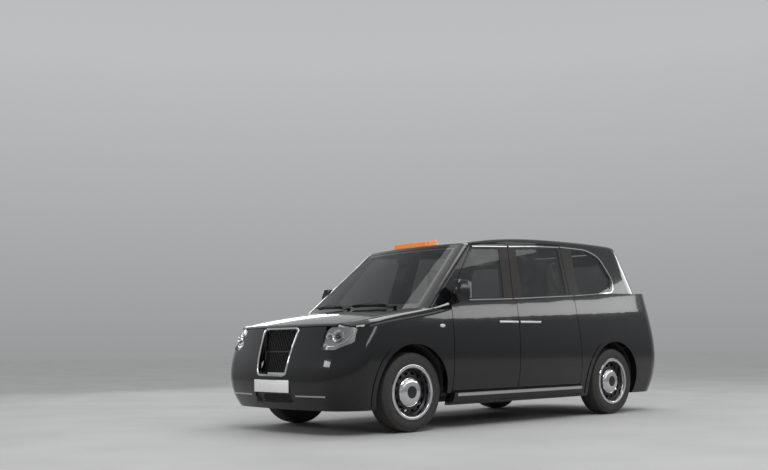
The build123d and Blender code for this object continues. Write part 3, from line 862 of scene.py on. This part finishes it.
class CabTyres(Operator):
    """Road tyres with grooves, slots and a rim ridge on all four wheels"""

    bl_idname = "cab.tyres"
    bl_label = "Tyres"

    def execute(self, context):
        sizes = context.scene.cab_wheels
        radius = HUB_Z - 0.0003  # a little off the ground
        shoulder_drop = 0.00575
        deep = sizes.groove
        # across from the middle: the middle, both edges of two grooves, the shoulder
        ribs = (0.000, 0.018, 0.027, 0.052, 0.061, 0.082)
        crown = [radius - shoulder_drop * (across / ribs[-1]) ** 2 for across in ribs]
        half = []
        for inner, outer in ((1, 2), (3, 4)):
            half += [
                (ribs[inner], crown[inner]),
                (ribs[inner] + 0.001, crown[inner] - deep),
                (ribs[outer] - 0.001, crown[outer] - deep),
                (ribs[outer], crown[outer]),
            ]
        half += [
            (ribs[5], crown[5]),
            (0.0930, 0.3455),
            (0.0980, 0.3340),
            (0.1030, 0.3190),
            (0.1042, 0.3170),
            (0.1058, 0.3050),
            (0.1070, 0.2900),
            (0.1060, 0.2740),
            (0.1030, 0.2580),
            (0.1035, 0.2500),
            (0.1000, 0.2460),
            (0.0970, 0.2400),
            (0.0970, 0.2200),
        ]
        profile = [(-across, high) for across, high in reversed(half)] + half
        centre = Vector((AXLE_X[0], TRACK_HALF, HUB_Z))
        work = bmesh.new()
        turned(work, profile, centre, sizes.steps)
        pitch = 6  # divisions from one slot to the next
        tread_foot = 0.342  # radius of the lowest part of the crown
        # inner edge, outer edge and first step of the slots
        bands = ((ribs[2], ribs[3], pitch // 2), (ribs[4], 0.0935, 0))
        for inner, outer, phase in bands:
            for hand in (1, -1):
                cut = []
                for face in work.faces:
                    x, y, z = face.calc_center_median() - centre
                    turn = int((math.atan2(z, x) % math.tau) / math.tau * sizes.steps)
                    on_tread = math.hypot(x, z) > tread_foot and abs(face.normal.y) < 0.75
                    if inner < y * hand < outer and on_tread and turn % pitch == phase:
                        cut.append(face)
                made = bmesh.ops.extrude_face_region(work, geom=cut)["geom"]
                for vert in [part for part in made if isinstance(part, bmesh.types.BMVert)]:
                    away = Vector((vert.co.x - centre.x, 0, vert.co.z - centre.z)).normalized()
                    vert.co -= away * sizes.slot

        def tread(work, wheel):
            """The left wheel's piece, which stands in for the plain tyre."""
            tyre = ["tyre_" + wheel]
            return finished(work, "tread_" + wheel, "wheel_" + wheel, "tyre_rubber", replaces=tyre)

        front = tread(work, "front_left")
        work = bmesh.new()
        work.from_mesh(front.data)
        bmesh.ops.translate(work, vec=(AXLE_X[1] - AXLE_X[0], 0, 0), verts=work.verts)
        rear = tread(work, "rear_left")
        for end, left in zip(ENDS, (front, rear)):
            mirrored(left, f"tread_{end}_right", f"wheel_{end}_right", [f"tyre_{end}_right"])
        return {"FINISHED"}


def on_each_wheel(make, name, slot, material=None):
    """Make one piece for each axle's left wheel, and its mirror image for the right one."""
    for axle, end in zip(AXLE_X, ENDS):
        work = bmesh.new()
        make(work, Vector((axle, TRACK_HALF, HUB_Z)))
        paired(work, f"{name}_{end}", f"wheel_{end}_left", slot, material)


class CabWheels(Operator):
    """Bright trim rings, hub caps with dark centres, brake discs and valves"""

    bl_idname = "cab.wheels"
    bl_label = "Wheel dressing"

    def execute(self, context):
        cap = context.scene.cab_wheels.cap
        ring = [
            (0.1030, 0.2462),
            (0.1060, 0.2445),
            (0.1074, 0.2390),
            (0.1070, 0.2310),
            (0.1052, 0.2215),
            (0.0980, 0.2125),
            (0.0800, 0.2078),
            (0.0640, 0.2056),
            (0.0630, 0.2072),
            (0.0800, 0.2098),
            (0.0978, 0.2128),
            (0.1042, 0.2180),
            (0.1046, 0.2345),
            (0.1015, 0.2440),
        ]
        hub = [
            (0.0612, cap),
            (0.0690, cap - 0.0010),
            (0.0740, cap - 0.0045),
            (0.0830, cap - 0.0170),
            (0.0872, cap - 0.0230),
            (0.0900, cap - 0.0330),
            (0.0935, cap - 0.0500),
            (0.0950, cap - 0.0660),
            (0.0962, 0.0610),
            (0.0962, 0.0560),
            (0.0930, 0.0560),
            (0.0925, 0.0640),
            (0.0850, 0.1095),
            (0.0605, cap - 0.0015),
        ]
        middle = [(0.0932, 0.0558), (0.0960, 0.0555), (0.0972, 0.0500), (0.0976, 0.0300), (0.0978, 0.0)]
        disc = [(-0.042, 0.122), (-0.020, 0.122), (-0.020, 0.072), (-0.024, 0.068), (-0.042, 0.068)]
        # piece, slot, material, steps round, profile of (across, radius)
        rows = (
            ("trim_ring", "chrome", "chrome", 96, ring),
            ("hub_cap", "chrome", "chrome", 72, hub),
            ("hub_centre", "gloss_black_plastic", "gloss_black_plastic", 48, middle),
            ("brake_disc", "cast_metal", "brake_steel", 72, disc),
        )
        for name, slot, material, steps, profile in rows:

            def spun(work, centre):
                turned(work, profile, centre, steps, closed=profile[-1][1] > 0)

            on_each_wheel(spun, name, slot, material)

        def valve(work, centre):
            upright = Matrix.Rotation(-math.pi / 2, 3, "X")
            bmesh.ops.create_cone(
                work, segments=12, radius1=0.0045, radius2=0.0035, depth=0.03, cap_ends=True
            )
            bmesh.ops.rotate(work, cent=(0, 0, 0), matrix=upright, verts=work.verts)
            bmesh.ops.translate(work, vec=centre + Vector((0, 0.072, 0.192)), verts=work.verts)

        on_each_wheel(valve, "tyre_valve", "black_plastic")
        return {"FINISHED"}


class CabBrightLine(Operator):
    """Bright line round the side glass and along the sills"""

    bl_idname = "cab.bright_line"
    bl_label = "Bright line"

    def execute(self, context):
        trim = context.scene.cab_trim
        profile = strip_profile(trim.strip, trim.strip_rise)
        # piece and left body, then lines of (along, height)
        runs = {
            ("door_front", "door_front_left"): (
                [(1.006, 1.1795), (0.128, 1.2155)],
                [(0.556, 1.7185), (0.300, 1.7330), (0.046, 1.7455)],
            ),
            ("door_rear", "door_rear_left"): (
                [(0.112, 1.2160), (-0.400, 1.2440), (-0.860, 1.2690)],
                [(0.016, 1.7470), (-0.400, 1.7740), (-0.798, 1.7870)],
            ),
            ("quarter", "shell"): (
                [
                    (-0.882, 1.2705),
                    (-1.330, 1.3010),
                    (-1.590, 1.3260),
                    (-1.625, 1.4600),
                    (-1.480, 1.7080),
                    (-1.270, 1.7840),
                    (-0.816, 1.7895),
                ],
            ),
        }
        for (name, body), lines in runs.items():
            work = bmesh.new()
            for line in lines:
                corners = [cabin_point(x, z) for x, z in line]
                path = rounded_path(corners, 0.10) if len(corners) > 2 else corners
                sweep(work, path, [CABIN_NORMAL] * len(path), profile)
            paired(work, "bright_" + name, body, "chrome")
        steps = Skin("sill_steps")
        work = bmesh.new()
        hits = [steps.side(x, 0.312) for x in (0.99, 0.5, 0.0, -0.5, -0.87)]
        lay(work, hits, strip_profile(0.030, 0.002))
        paired(work, "bright_sill", "shell", "chrome", "chrome_satin")
        return {"FINISHED"}


class CabHandles(Operator):
    """Bright door handles with dark patches of painted shade standing in for their recesses, and the
    side repeater lamps
    """

    bl_idname = "cab.handles"
    bl_label = "Door handles"

    def execute(self, context):
        # door, front end and rear end of its handle
        places = (("door_front", 0.405, 0.132), ("door_rear", 0.098, -0.210))
        stand = 0.016
        for door, ahead, behind in places:
            body = door + "_left"
            skin = Skin(body)
            middle = (ahead + behind) / 2
            spots = [ahead, ahead - 0.03, middle, behind + 0.03, behind]
            path, normals = laid([skin.side(x, HANDLE_Z) for x in spots], stand)
            for end in (0, -1):
                path[end] -= normals[end] * (stand - 0.002)
            work = bmesh.new()
            run = rounded_path(path, 0.02, 4)
            sweep(work, run, [normals[2]] * len(run), round_profile(0.0125, 0.0065, 14))
            paired(work, "handle_" + door, body, "chrome")
            # A thin dark patch laid on the door skin behind each handle is painted shade, standing in
            # for the handle's recess
            work = bulge(skin.side(middle, HANDLE_Z), (0.085, 0.0022, 0.030), 12)
            paired(work, "recess_" + door, body, "gloss_black_plastic")
        work = bulge(Skin("front_wings").side(1.18, 0.945), (0.034, 0.010, 0.017), 14)
        paired(work, "repeater", "shell", "lamp_clear", "repeater_white")
        return {"FINISHED"}


class CabWipers(Operator):
    """Windscreen wipers at rest, and the rear wiper"""

    bl_idname = "cab.wipers"
    bl_label = "Wipers"

    def execute(self, context):
        screen = Skin("fixed_glass")
        work = bmesh.new()
        # across at the pivot and at the tip of each wiper
        for start, end in ((-0.06, -0.66), (0.54, -0.02)):
            pivot, normal = screen.front(start, 1.128)
            tip, tip_normal = screen.front(end, 1.150)
            middle, middle_normal = screen.front((start + end) / 2, 1.160)
            arm = [pivot + normal * 0.016, middle + middle_normal * 0.024, tip + tip_normal * 0.014]
            sweep(work, arm, [normal, middle_normal, tip_normal], round_profile(0.007, 0.004, 8))
            shares = (0.22, 0.5, 0.8, 1.04)
            spots = [(start + (end - start) * share, 1.148 + 0.004 * share) for share in shares]
            lay(work, [screen.front(y, z) for y, z in spots], BLADE, 0.006)
            block(work, pivot + normal * 0.010, (0.034, 0.034, 0.018), width=0.006)
        finished(work, "wipers", "shell", "black_plastic")
        tail = Skin("tailgate_glass", "tailgate")
        work = bmesh.new()
        pivot, normal = tail.rear(0.0, 1.285)
        block(work, pivot + normal * 0.010, (0.030, 0.044, 0.040), width=0.008)
        reach = [tail.rear(y, z) for y, z in ((0.0, 1.290), (-0.10, 1.330), (-0.24, 1.350))]
        lay(work, reach, round_profile(0.008, 0.005, 8), 0.014)
        blade = [tail.rear(y, 1.345 + 0.01 * abs(y)) for y in (-0.05, -0.20, -0.38)]
        lay(work, blade, BLADE, 0.007)
        finished(work, "rear_wiper", "tailgate", "black_plastic")
        return {"FINISHED"}


class CabHeadlamps(Operator):
    """Reflector bowls, projectors and light guides inside the clear lamp covers"""

    bl_idname = "cab.headlamps"
    bl_label = "Headlamps"

    def execute(self, context):
        work = bmesh.new()
        work.from_mesh(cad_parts["headlamps"].data)
        bmesh.ops.remove_doubles(work, verts=work.verts, dist=1e-5)
        # The housing is the cover's own form, moved back and inwards
        for vert in work.verts:
            vert.co.x -= 0.016
            vert.co.y -= math.copysign(0.011, vert.co.y)
        finished(work, "lamp_housings", "shell", "gloss_black_plastic", "lamp_bowl")
        skin = Skin("headlamps")
        # (depth, share of the radius)
        bowl = [(-0.024, 0.40), (-0.014, 0.75), (0.006, 1.00), (0.010, 1.08)]
        bowl += [(0.004, 1.10), (-0.018, 0.82), (-0.030, 0.42)]
        # (across, height, radius) of the outer and the inner lamp
        lamps = ((0.748, 0.862, 0.050), (0.655, 0.862, 0.030))
        # (across, height) along the light guide
        guide = ((0.612, 0.790), (0.680, 0.768), (0.752, 0.772), (0.822, 0.812), (0.846, 0.862))
        for side, hand in SIDES:
            balls = bmesh.new()
            rings = bmesh.new()
            for y, z, radius in lamps:
                point, normal = skin.front(y * hand, z)
                aim = Vector((0, 1, 0)).rotation_difference(normal).to_matrix().to_4x4()
                place = Matrix.Translation(point - normal * 0.014) @ aim
                part = bmesh.new()
                turned(part, [(depth, radius * share) for depth, share in bowl], Vector(), 40)
                bmesh.ops.transform(part, matrix=place, verts=part.verts)
                join(rings, part)
                part = bmesh.new()
                bmesh.ops.create_uvsphere(part, u_segments=32, v_segments=16, radius=radius * 0.62)
                bmesh.ops.scale(part, vec=(1, 0.6, 1), verts=part.verts)
                bmesh.ops.translate(part, vec=(0, -0.012, 0), verts=part.verts)
                bmesh.ops.transform(part, matrix=place, verts=part.verts)
                join(balls, part)
            finished(balls, f"projectors_{side}", "shell", "lamp_clear", "gloss_black_plastic")
            hits = [skin.front(y * hand, z) for y, z in guide]
            path = [point - Vector((0.017, 0.010 * hand, 0)) for point, normal in hits]
            sweep(rings, path, [normal for point, normal in hits], round_profile(0.006, 0.004, 10))
            finished(rings, f"lamp_rings_{side}", "shell", "chrome")
        return {"FINISHED"}


class CabNose(Operator):
    """Blank front plate and its holder, the lower bright bars and the grille's bright rim"""

    bl_idname = "cab.nose"
    bl_label = "Nose"

    def execute(self, context):
        trim = context.scene.cab_trim
        wide, high = trim.plate_width, trim.plate_height
        work = bmesh.new()
        block(work, (2.4235, 0, PLATE_Z), (0.004, wide, high), width=0.0015)
        finished(work, "front_plate", "shell", "gloss_black_plastic", "plate_white")
        work = bmesh.new()
        block(work, (2.4190, 0, PLATE_Z), (0.005, wide + 0.010, high + 0.008), width=0.002)
        finished(work, "front_plate_holder", "shell", "black_plastic")
        bumper = Skin("front_bumper")
        work = bmesh.new()
        bar_z = 0.340
        for hand in (1, -1):
            hits = [bumper.front(y * hand, bar_z) for y in (0.330, 0.400, 0.480, 0.560, 0.630, 0.690)]
            lay(work, hits, strip_profile(0.014, 0.004))
        finished(work, "lower_light_bars", "shell", "chrome", "chrome_satin")
        # (across, height) round the left half of the grille, from its top to its foot
        half = [
            (0.0, 0.932),
            (0.140, 0.932),
            (0.222, 0.932),
            (0.256, 0.912),
            (0.256, 0.880),
            (0.243, 0.770),
            (0.231, 0.660),
            (0.216, 0.560),
            (0.206, 0.530),
            (0.172, GRILLE_FOOT_Z),
            (0.090, GRILLE_FOOT_Z),
        ]
        around = half + [(0.0, GRILLE_FOOT_Z)] + [(-y, z) for y, z in reversed(half[1:])]
        beside = 0.300
        path = []
        normals = []
        for y, z in around:
            # The opening has no skin, so the nose beside it gives the place, moved along its bow
            point, normal = bumper.front(beside, min(z, NOSE_FOLD_Z))
            point.y = y
            point.x += (beside**2 - y * y) / (2 * NOSE_BOW) - max(z - NOSE_FOLD_Z, 0) * NOSE_LEAN
            point.z = z
            path.append(point)
            normals.append(Vector((normal.x, y / NOSE_BOW, normal.z)).normalized())
        work = bmesh.new()
        sweep(work, path, normals, strip_profile(0.018, 0.007), closed=True)
        for vert in work.verts:
            vert.co.x = min(vert.co.x, NOSE_X)
        finished(work, "grille_rim", "shell", "chrome", smooth=50)
        return {"FINISHED"}


class CabTail(Operator):
    """Rear plate, handle strip, brake lamp, reflectors, bumper lip and the tail lamps' covers"""

    bl_idname = "cab.tail"
    bl_label = "Tail"

    def execute(self, context):
        trim = context.scene.cab_trim
        wide, high = trim.plate_width, trim.plate_height
        skin = Skin("tailgate", "tailgate_glass")

        def leaning(height):
            """The turn that lays a box flat on the tailgate."""
            normal = skin.rear(0, height)[1]
            normal.y = 0
            return Vector((-1, 0, 0)).rotation_difference(normal).to_matrix()

        plate_z = 0.905
        rail_z = 1.045
        strip_z = 1.068
        lamp_z = 1.755
        turn = leaning(plate_z)
        lamp_turn = leaning(lamp_z)
        # piece, slot, material, then height, stand, size, turn, rounding and its segments of each box
        rows = (
            (
                "rear_plate",
                "gloss_black_plastic",
                "plate_white",
                [(plate_z, 0.006, (0.005, wide, high), turn, 0.0015, 2)],
            ),
            (
                "rear_plate_panel",
                "gloss_black_plastic",
                "gloss_black_plastic",
                [
                    (plate_z, 0.001, (0.012, wide + 0.05, high + 0.05), turn, 0.004, 2),
                    (rail_z, 0.004, (0.030, 0.50, 0.034), turn, 0.010, 3),
                ],
            ),
            (
                "rear_handle_strip",
                "chrome",
                "chrome",
                [(strip_z, 0.008, (0.016, 0.50, 0.010), turn, 0.003, 2)],
            ),
            (
                "high_brake_lamp",
                "lamp_red",
                "lamp_red",
                [(lamp_z, 0.002, (0.010, 0.30, 0.018), lamp_turn, 0.003, 2)],
            ),
        )
        for name, slot, material, boxes in rows:
            work = bmesh.new()
            for height, stand, size, lean, width, segments in boxes:
                point, normal = skin.rear(0, height)
                block(work, point + normal * stand, size, lean, width, segments)
            finished(work, name, "tailgate", slot, material)
        bumper = Skin("rear_bumper")
        work = bmesh.new()
        for hand in (1, -1):
            hits = [bumper.rear(y * hand, 0.520) for y in (0.520, 0.600, 0.680)]
            lay(work, hits, strip_profile(0.042, 0.004))
        finished(work, "rear_reflectors", "shell", "lamp_red")
        work = bmesh.new()
        hits = [bumper.rear(y, 0.430) for y in (0.78, 0.60, 0.30, 0.0, -0.30, -0.60, -0.78)]
        lay(work, hits, strip_profile(0.020, 0.003))
        finished(work, "rear_bumper_lip", "shell", "black_plastic")
        work = bmesh.new()
        for hand in (1, -1):
            block(work, (-2.080, 0.694 * hand, 1.115), (0.390, 0.010, 0.385), width=0.002)
            block(work, (-1.893, 0.780 * hand, 1.115), (0.010, 0.182, 0.385), width=0.002)
        finished(work, "tail_lamp_covers", "shell", "black_plastic")
        return {"FINISHED"}


class CabMirrors(Operator):
    """Glass of the door mirrors, and the inside mirror"""

    bl_idname = "cab.mirrors"
    bl_label = "Mirrors"

    def execute(self, context):
        skin = Skin("door_mirror_left")
        point, _ = skin.hit((0.5, 0.962, 1.275), (1, 0, 0))
        work = bmesh.new()
        block(work, point + Vector((-0.001, 0, 0)), (0.006, 0.088, 0.148), width=0.002)
        corners = [edge for edge in work.edges if abs(edge.verts[0].co.x - edge.verts[1].co.x) > 0.001]
        rounded(work, corners, 0.018, 4)
        paired(work, "mirror_glass", "door_front_left", "chrome", "mirror_glass")
        work = bmesh.new()
        block(work, (0.770, 0, 1.620), (0.030, 0.220, 0.070), Matrix.Rotation(0.25, 3, "Y"), 0.012, 3)
        block(work, (0.800, 0, 1.665), (0.020, 0.024, 0.060), Matrix.Rotation(-0.5, 3, "Y"), 0.006)
        finished(work, "inside_mirror", "shell", "black_plastic")
        return {"FINISHED"}


def pad(work, centre, size, lean=0.0, crown=0.020, seams=()):
    """A crowned cushion, its sides pulled in between the corners, with sewn channels across it."""
    part = bmesh.new()
    bmesh.ops.create_cube(part, size=1)
    bmesh.ops.scale(part, vec=size, verts=part.verts)
    soften(part, min(size) * 0.30, 3)
    bmesh.ops.subdivide_edges(part, edges=part.edges, cuts=5, use_grid_fill=True)
    thin = min(range(3), key=lambda axis: size[axis])
    wide = [axis for axis in range(3) if axis != thin]
    seam_width = 0.012
    for vert in part.verts:
        fullness = math.prod(1 - (vert.co[axis] / size[axis] * 2) ** 2 for axis in wide)
        vert.co[thin] *= 1 + crown / size[thin] * 2 * (max(fullness, 0) - 0.35)
        for seam in seams:
            near = math.exp(-(((vert.co.y - seam) / seam_width) ** 2))
            vert.co[thin] *= 1 - 0.10 * near
    every_way = {"use_axis_x": True, "use_axis_y": True, "use_axis_z": True}
    bmesh.ops.smooth_vert(part, verts=part.verts, factor=0.4, **every_way)
    bmesh.ops.rotate(part, cent=(0, 0, 0), matrix=Matrix.Rotation(lean, 3, "Y"), verts=part.verts)
    bmesh.ops.translate(part, vec=centre, verts=part.verts)
    join(work, part)


def cushions(work, name, node):
    """Finish the padded piece that stands in for a seat's solid."""
    piece = finished(work, name, "shell", "seat_cloth", replaces=[node], smooth=60)


class CabSeats(Operator):
    """Padded driver's seat and rear bench with head restraints"""

    bl_idname = "cab.seats"
    bl_label = "Seats"

    def execute(self, context):
        work = bmesh.new()
        seams = (-0.13, 0.13)
        pad(work, (0.320, SEAT_Y, 0.520), (0.480, 0.470, 0.140), -0.04, seams=seams)
        pad(work, (0.005, SEAT_Y, 0.880), (0.110, 0.460, 0.620), -0.13, seams=seams)
        pad(work, (-0.050, SEAT_Y, 1.295), (0.085, 0.250, 0.165), -0.10, 0.012)
        cushions(work, "driver_cushions", "driver_seat")
        work = bmesh.new()
        for y in BENCH_Y:
            pad(work, (-1.360, y, 0.610), (0.480, 0.336, 0.150), -0.04, 0.016)
            pad(work, (-1.640, y, 0.940), (0.110, 0.336, 0.520), -0.24, 0.016)
            pad(work, (-1.690, y, 1.190), (0.070, 0.210, 0.060), -0.20, 0.008)
        cushions(work, "bench_cushions", "rear_bench")
        work = bmesh.new()
        block(work, (0.230, SEAT_Y, 0.390), (0.420, 0.400, 0.110), width=0.012)
        block(work, (-1.400, 0, 0.515), (0.560, 1.040, 0.030), width=0.008)
        for y in (SEAT_Y - 0.055, SEAT_Y + 0.055):
            block(work, (-0.045, y, 1.200), (0.012, 0.012, 0.060), width=0.003)
        finished(work, "seat_frames", "shell", "black_plastic")
        return {"FINISHED"}


class CabCabin(Operator):
    """Dashboard screens, partition glass and yellow grab handles"""

    bl_idname = "cab.cabin"
    bl_label = "Cabin"

    def execute(self, context):
        tilt = Matrix.Rotation(-0.35, 3, "Y")
        work = bmesh.new()
        block(work, (0.925, SEAT_Y, 1.075), (0.020, 0.240, 0.090), tilt, 0.006)
        block(work, (0.915, 0.020, 1.050), (0.016, 0.180, 0.250), tilt, 0.006)
        finished(work, "dashboard_screens", "shell", "gloss_black_plastic")
        work = bmesh.new()
        block(work, (-0.1875, 0, 1.345), (0.006, 1.200, 0.430), width=0.002)
        finished(work, "partition_glass", "shell", "glass_tinted", "glass_partition")
        rail = (
            (-0.880, 0.712, 1.620),
            (-0.700, 0.650, 1.610),
            (-0.800, 0.670, 1.330),
            (-0.885, 0.790, 1.290),
        )
        work = bmesh.new()
        for hand in (1, -1):
            path = rounded_path([Vector((x, y * hand, z)) for x, y, z in rail], 0.06)
            sweep(work, path, [Vector((1, 0, 0))] * len(path), round_profile(0.017, 0.017, 12))
        finished(work, "grab_handles", "shell", "sign_orange", "grab_yellow")
        return {"FINISHED"}


def add_floor(scene):
    """A pale floor a millimetre under the tyres."""
    work = bmesh.new()
    bmesh.ops.create_grid(work, x_segments=1, y_segments=1, size=60)
    bmesh.ops.translate(work, vec=(0, 0, -0.001), verts=work.verts)
    mesh = bpy.data.meshes.new("floor")
    work.to_mesh(mesh)
    work.free()
    floor = bpy.data.objects.new("floor", mesh)
    scene.collection.objects.link(floor)
    ground = Finish("floor_pale")
    tone = ground.between(ground.noise(0.8, 3), 0.3, 0.7)
    ground.set(base_color=ground.blend(tone, grey(0.34), grey(0.38)), roughness=0.75)
    mesh.materials.append(ground.material)


def add_backdrop(scene):
    """A plain studio all round, lightest a little above the horizon."""
    world = bpy.data.worlds.new("studio")
    world.use_nodes = True
    scene.world = world
    studio = Nodes(world.node_tree, "Generated")
    # (share of the way from straight down to straight up, brightness)
    levels = ((0.0, 0.20), (0.48, 0.34), (0.52, 0.40), (0.64, 0.58), (0.80, 0.50), (1.0, 0.30))
    stops = [(share, (level * 0.97, level * 0.985, level, 1)) for share, level in levels]
    height = studio.node("ShaderNodeMapRange", inputs={"Value": studio.axis("Z"), "From Min": -1.0})
    sky = world.node_tree.nodes["Background"]
    studio.feed(sky.inputs["Color"], studio.node("ShaderNodeValToRGB", {"stops": stops}, {0: height}))
    studio.feed(sky.inputs["Strength"], 0.9)


def add_lamps(scene):
    """Large soft lamps, the long ones for the reflections along the shoulders, and a soft dome."""
    # name, place, aim, size, power
    lamps = (
        ("key", (4.5, 5.5, 7.5), (0.4, 0, 0.6), (4.0, 2.0), 300),
        ("overhead", (-1.5, 0.5, 7.0), (0, 0, 0.8), (5.0, 2.5), 140),
        ("left_strip", (-4.5, 8.0, 3.1), (-0.6, 0, 0.9), (11.0, 0.6), 85),
        ("left_sky", (-4.5, 8.5, 7.5), (-0.6, 0, 0.9), (11.0, 2.4), 110),
        ("right_strip", (-1.0, -9.0, 3.4), (-0.3, 0, 0.9), (9.0, 0.8), 110),
        ("front", (9.5, -2.5, 3.2), (1.8, 0, 0.8), (3.5, 0.9), 90),
        ("rear", (-9.0, 2.5, 3.6), (-1.8, 0, 0.9), (5.0, 1.0), 60),
    )
    for name, spot, aim, (wide, tall), power in lamps:
        light = bpy.data.lights.new(name, "AREA")
        light.shape = "RECTANGLE"
        light.size = wide
        light.size_y = tall
        light.energy = power
        lamp = bpy.data.objects.new(name, light)
        scene.collection.objects.link(lamp)
        lamp.location = spot
        lamp.rotation_euler = (Vector(aim) - Vector(spot)).to_track_quat("-Z", "Y").to_euler()
    dome = bpy.data.lights.new("dome", "SUN")
    dome.energy = 1.2
    dome.angle = math.radians(70)
    scene.collection.objects.link(bpy.data.objects.new("dome", dome))


def add_camera(scene):
    """The camera at the photograph's viewing angle."""
    view = scene.cab_view
    yaw, pitch, roll = view.turn
    flat = math.cos(pitch)
    ahead = Vector((math.cos(yaw) * flat, math.sin(yaw) * flat, math.sin(pitch)))
    level = ahead.cross(Vector((0, 0, 1))).normalized()
    above = level.cross(ahead)
    right = level * math.cos(roll) + above * math.sin(roll)
    up = above * math.cos(roll) - level * math.sin(roll)
    matrix = Matrix((right, up, -ahead)).transposed().to_4x4()
    matrix.translation = view.place
    lens = bpy.data.cameras.new("camera")
    lens.lens = view.lens
    lens.shift_y = view.rise
    lens.clip_end = 200
    camera = bpy.data.objects.new("camera", lens)
    scene.collection.objects.link(camera)
    camera.matrix_world = matrix
    scene.camera = camera


class CabStage(Operator):
    """Pale floor, studio light and the camera"""

    bl_idname = "cab.stage"
    bl_label = "Stage"

    def execute(self, context):
        add_floor(context.scene)
        add_backdrop(context.scene)
        add_lamps(context.scene)
        add_camera(context.scene)
        context.scene.view_settings.view_transform = "Standard"
        return {"FINISHED"}


STEPS = (
    CabFinishes,
    CabTyres,
    CabWheels,
    CabBrightLine,
    CabHandles,
    CabWipers,
    CabHeadlamps,
    CabNose,
    CabTail,
    CabMirrors,
    CabSeats,
    CabCabin,
    CabStage,
)


class CabPanel(Panel):
    """Lists the cab's settings and steps in the sidebar"""

    bl_idname = "VIEW3D_PT_cab"
    bl_label = "Cab"
    bl_space_type = "VIEW_3D"
    bl_region_type = "UI"
    bl_category = "Cab"

    def draw(self, context):
        for name in SETTINGS:
            group = getattr(context.scene, name)
            box = self.layout.box()
            for prop in group.bl_rna.properties:
                if prop.identifier not in ("rna_type", "name"):
                    box.prop(group, prop.identifier)
        for step in STEPS:
            self.layout.operator(step.bl_idname)


SETTINGS = {
    "cab_wheels": CabWheelSettings,
    "cab_trim": CabTrimSettings,
    "cab_colours": CabColourSettings,
    "cab_view": CabViewSettings,
}


def register():
    for group in SETTINGS.values():
        bpy.utils.register_class(group)
    for step in STEPS:
        bpy.utils.register_class(step)
    bpy.utils.register_class(CabPanel)
    for name, group in SETTINGS.items():
        setattr(bpy.types.Scene, name, PointerProperty(type=group))


def unregister():
    for name in SETTINGS:
        delattr(bpy.types.Scene, name)
    bpy.utils.unregister_class(CabPanel)
    for step in reversed(STEPS):
        bpy.utils.unregister_class(step)
    for group in reversed(list(SETTINGS.values())):
        bpy.utils.unregister_class(group)


def main():
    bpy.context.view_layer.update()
    register()
    for step in STEPS:
        group, name = step.bl_idname.split(".")
        getattr(getattr(bpy.ops, group), name)()


if __name__ == "__main__":
    main()
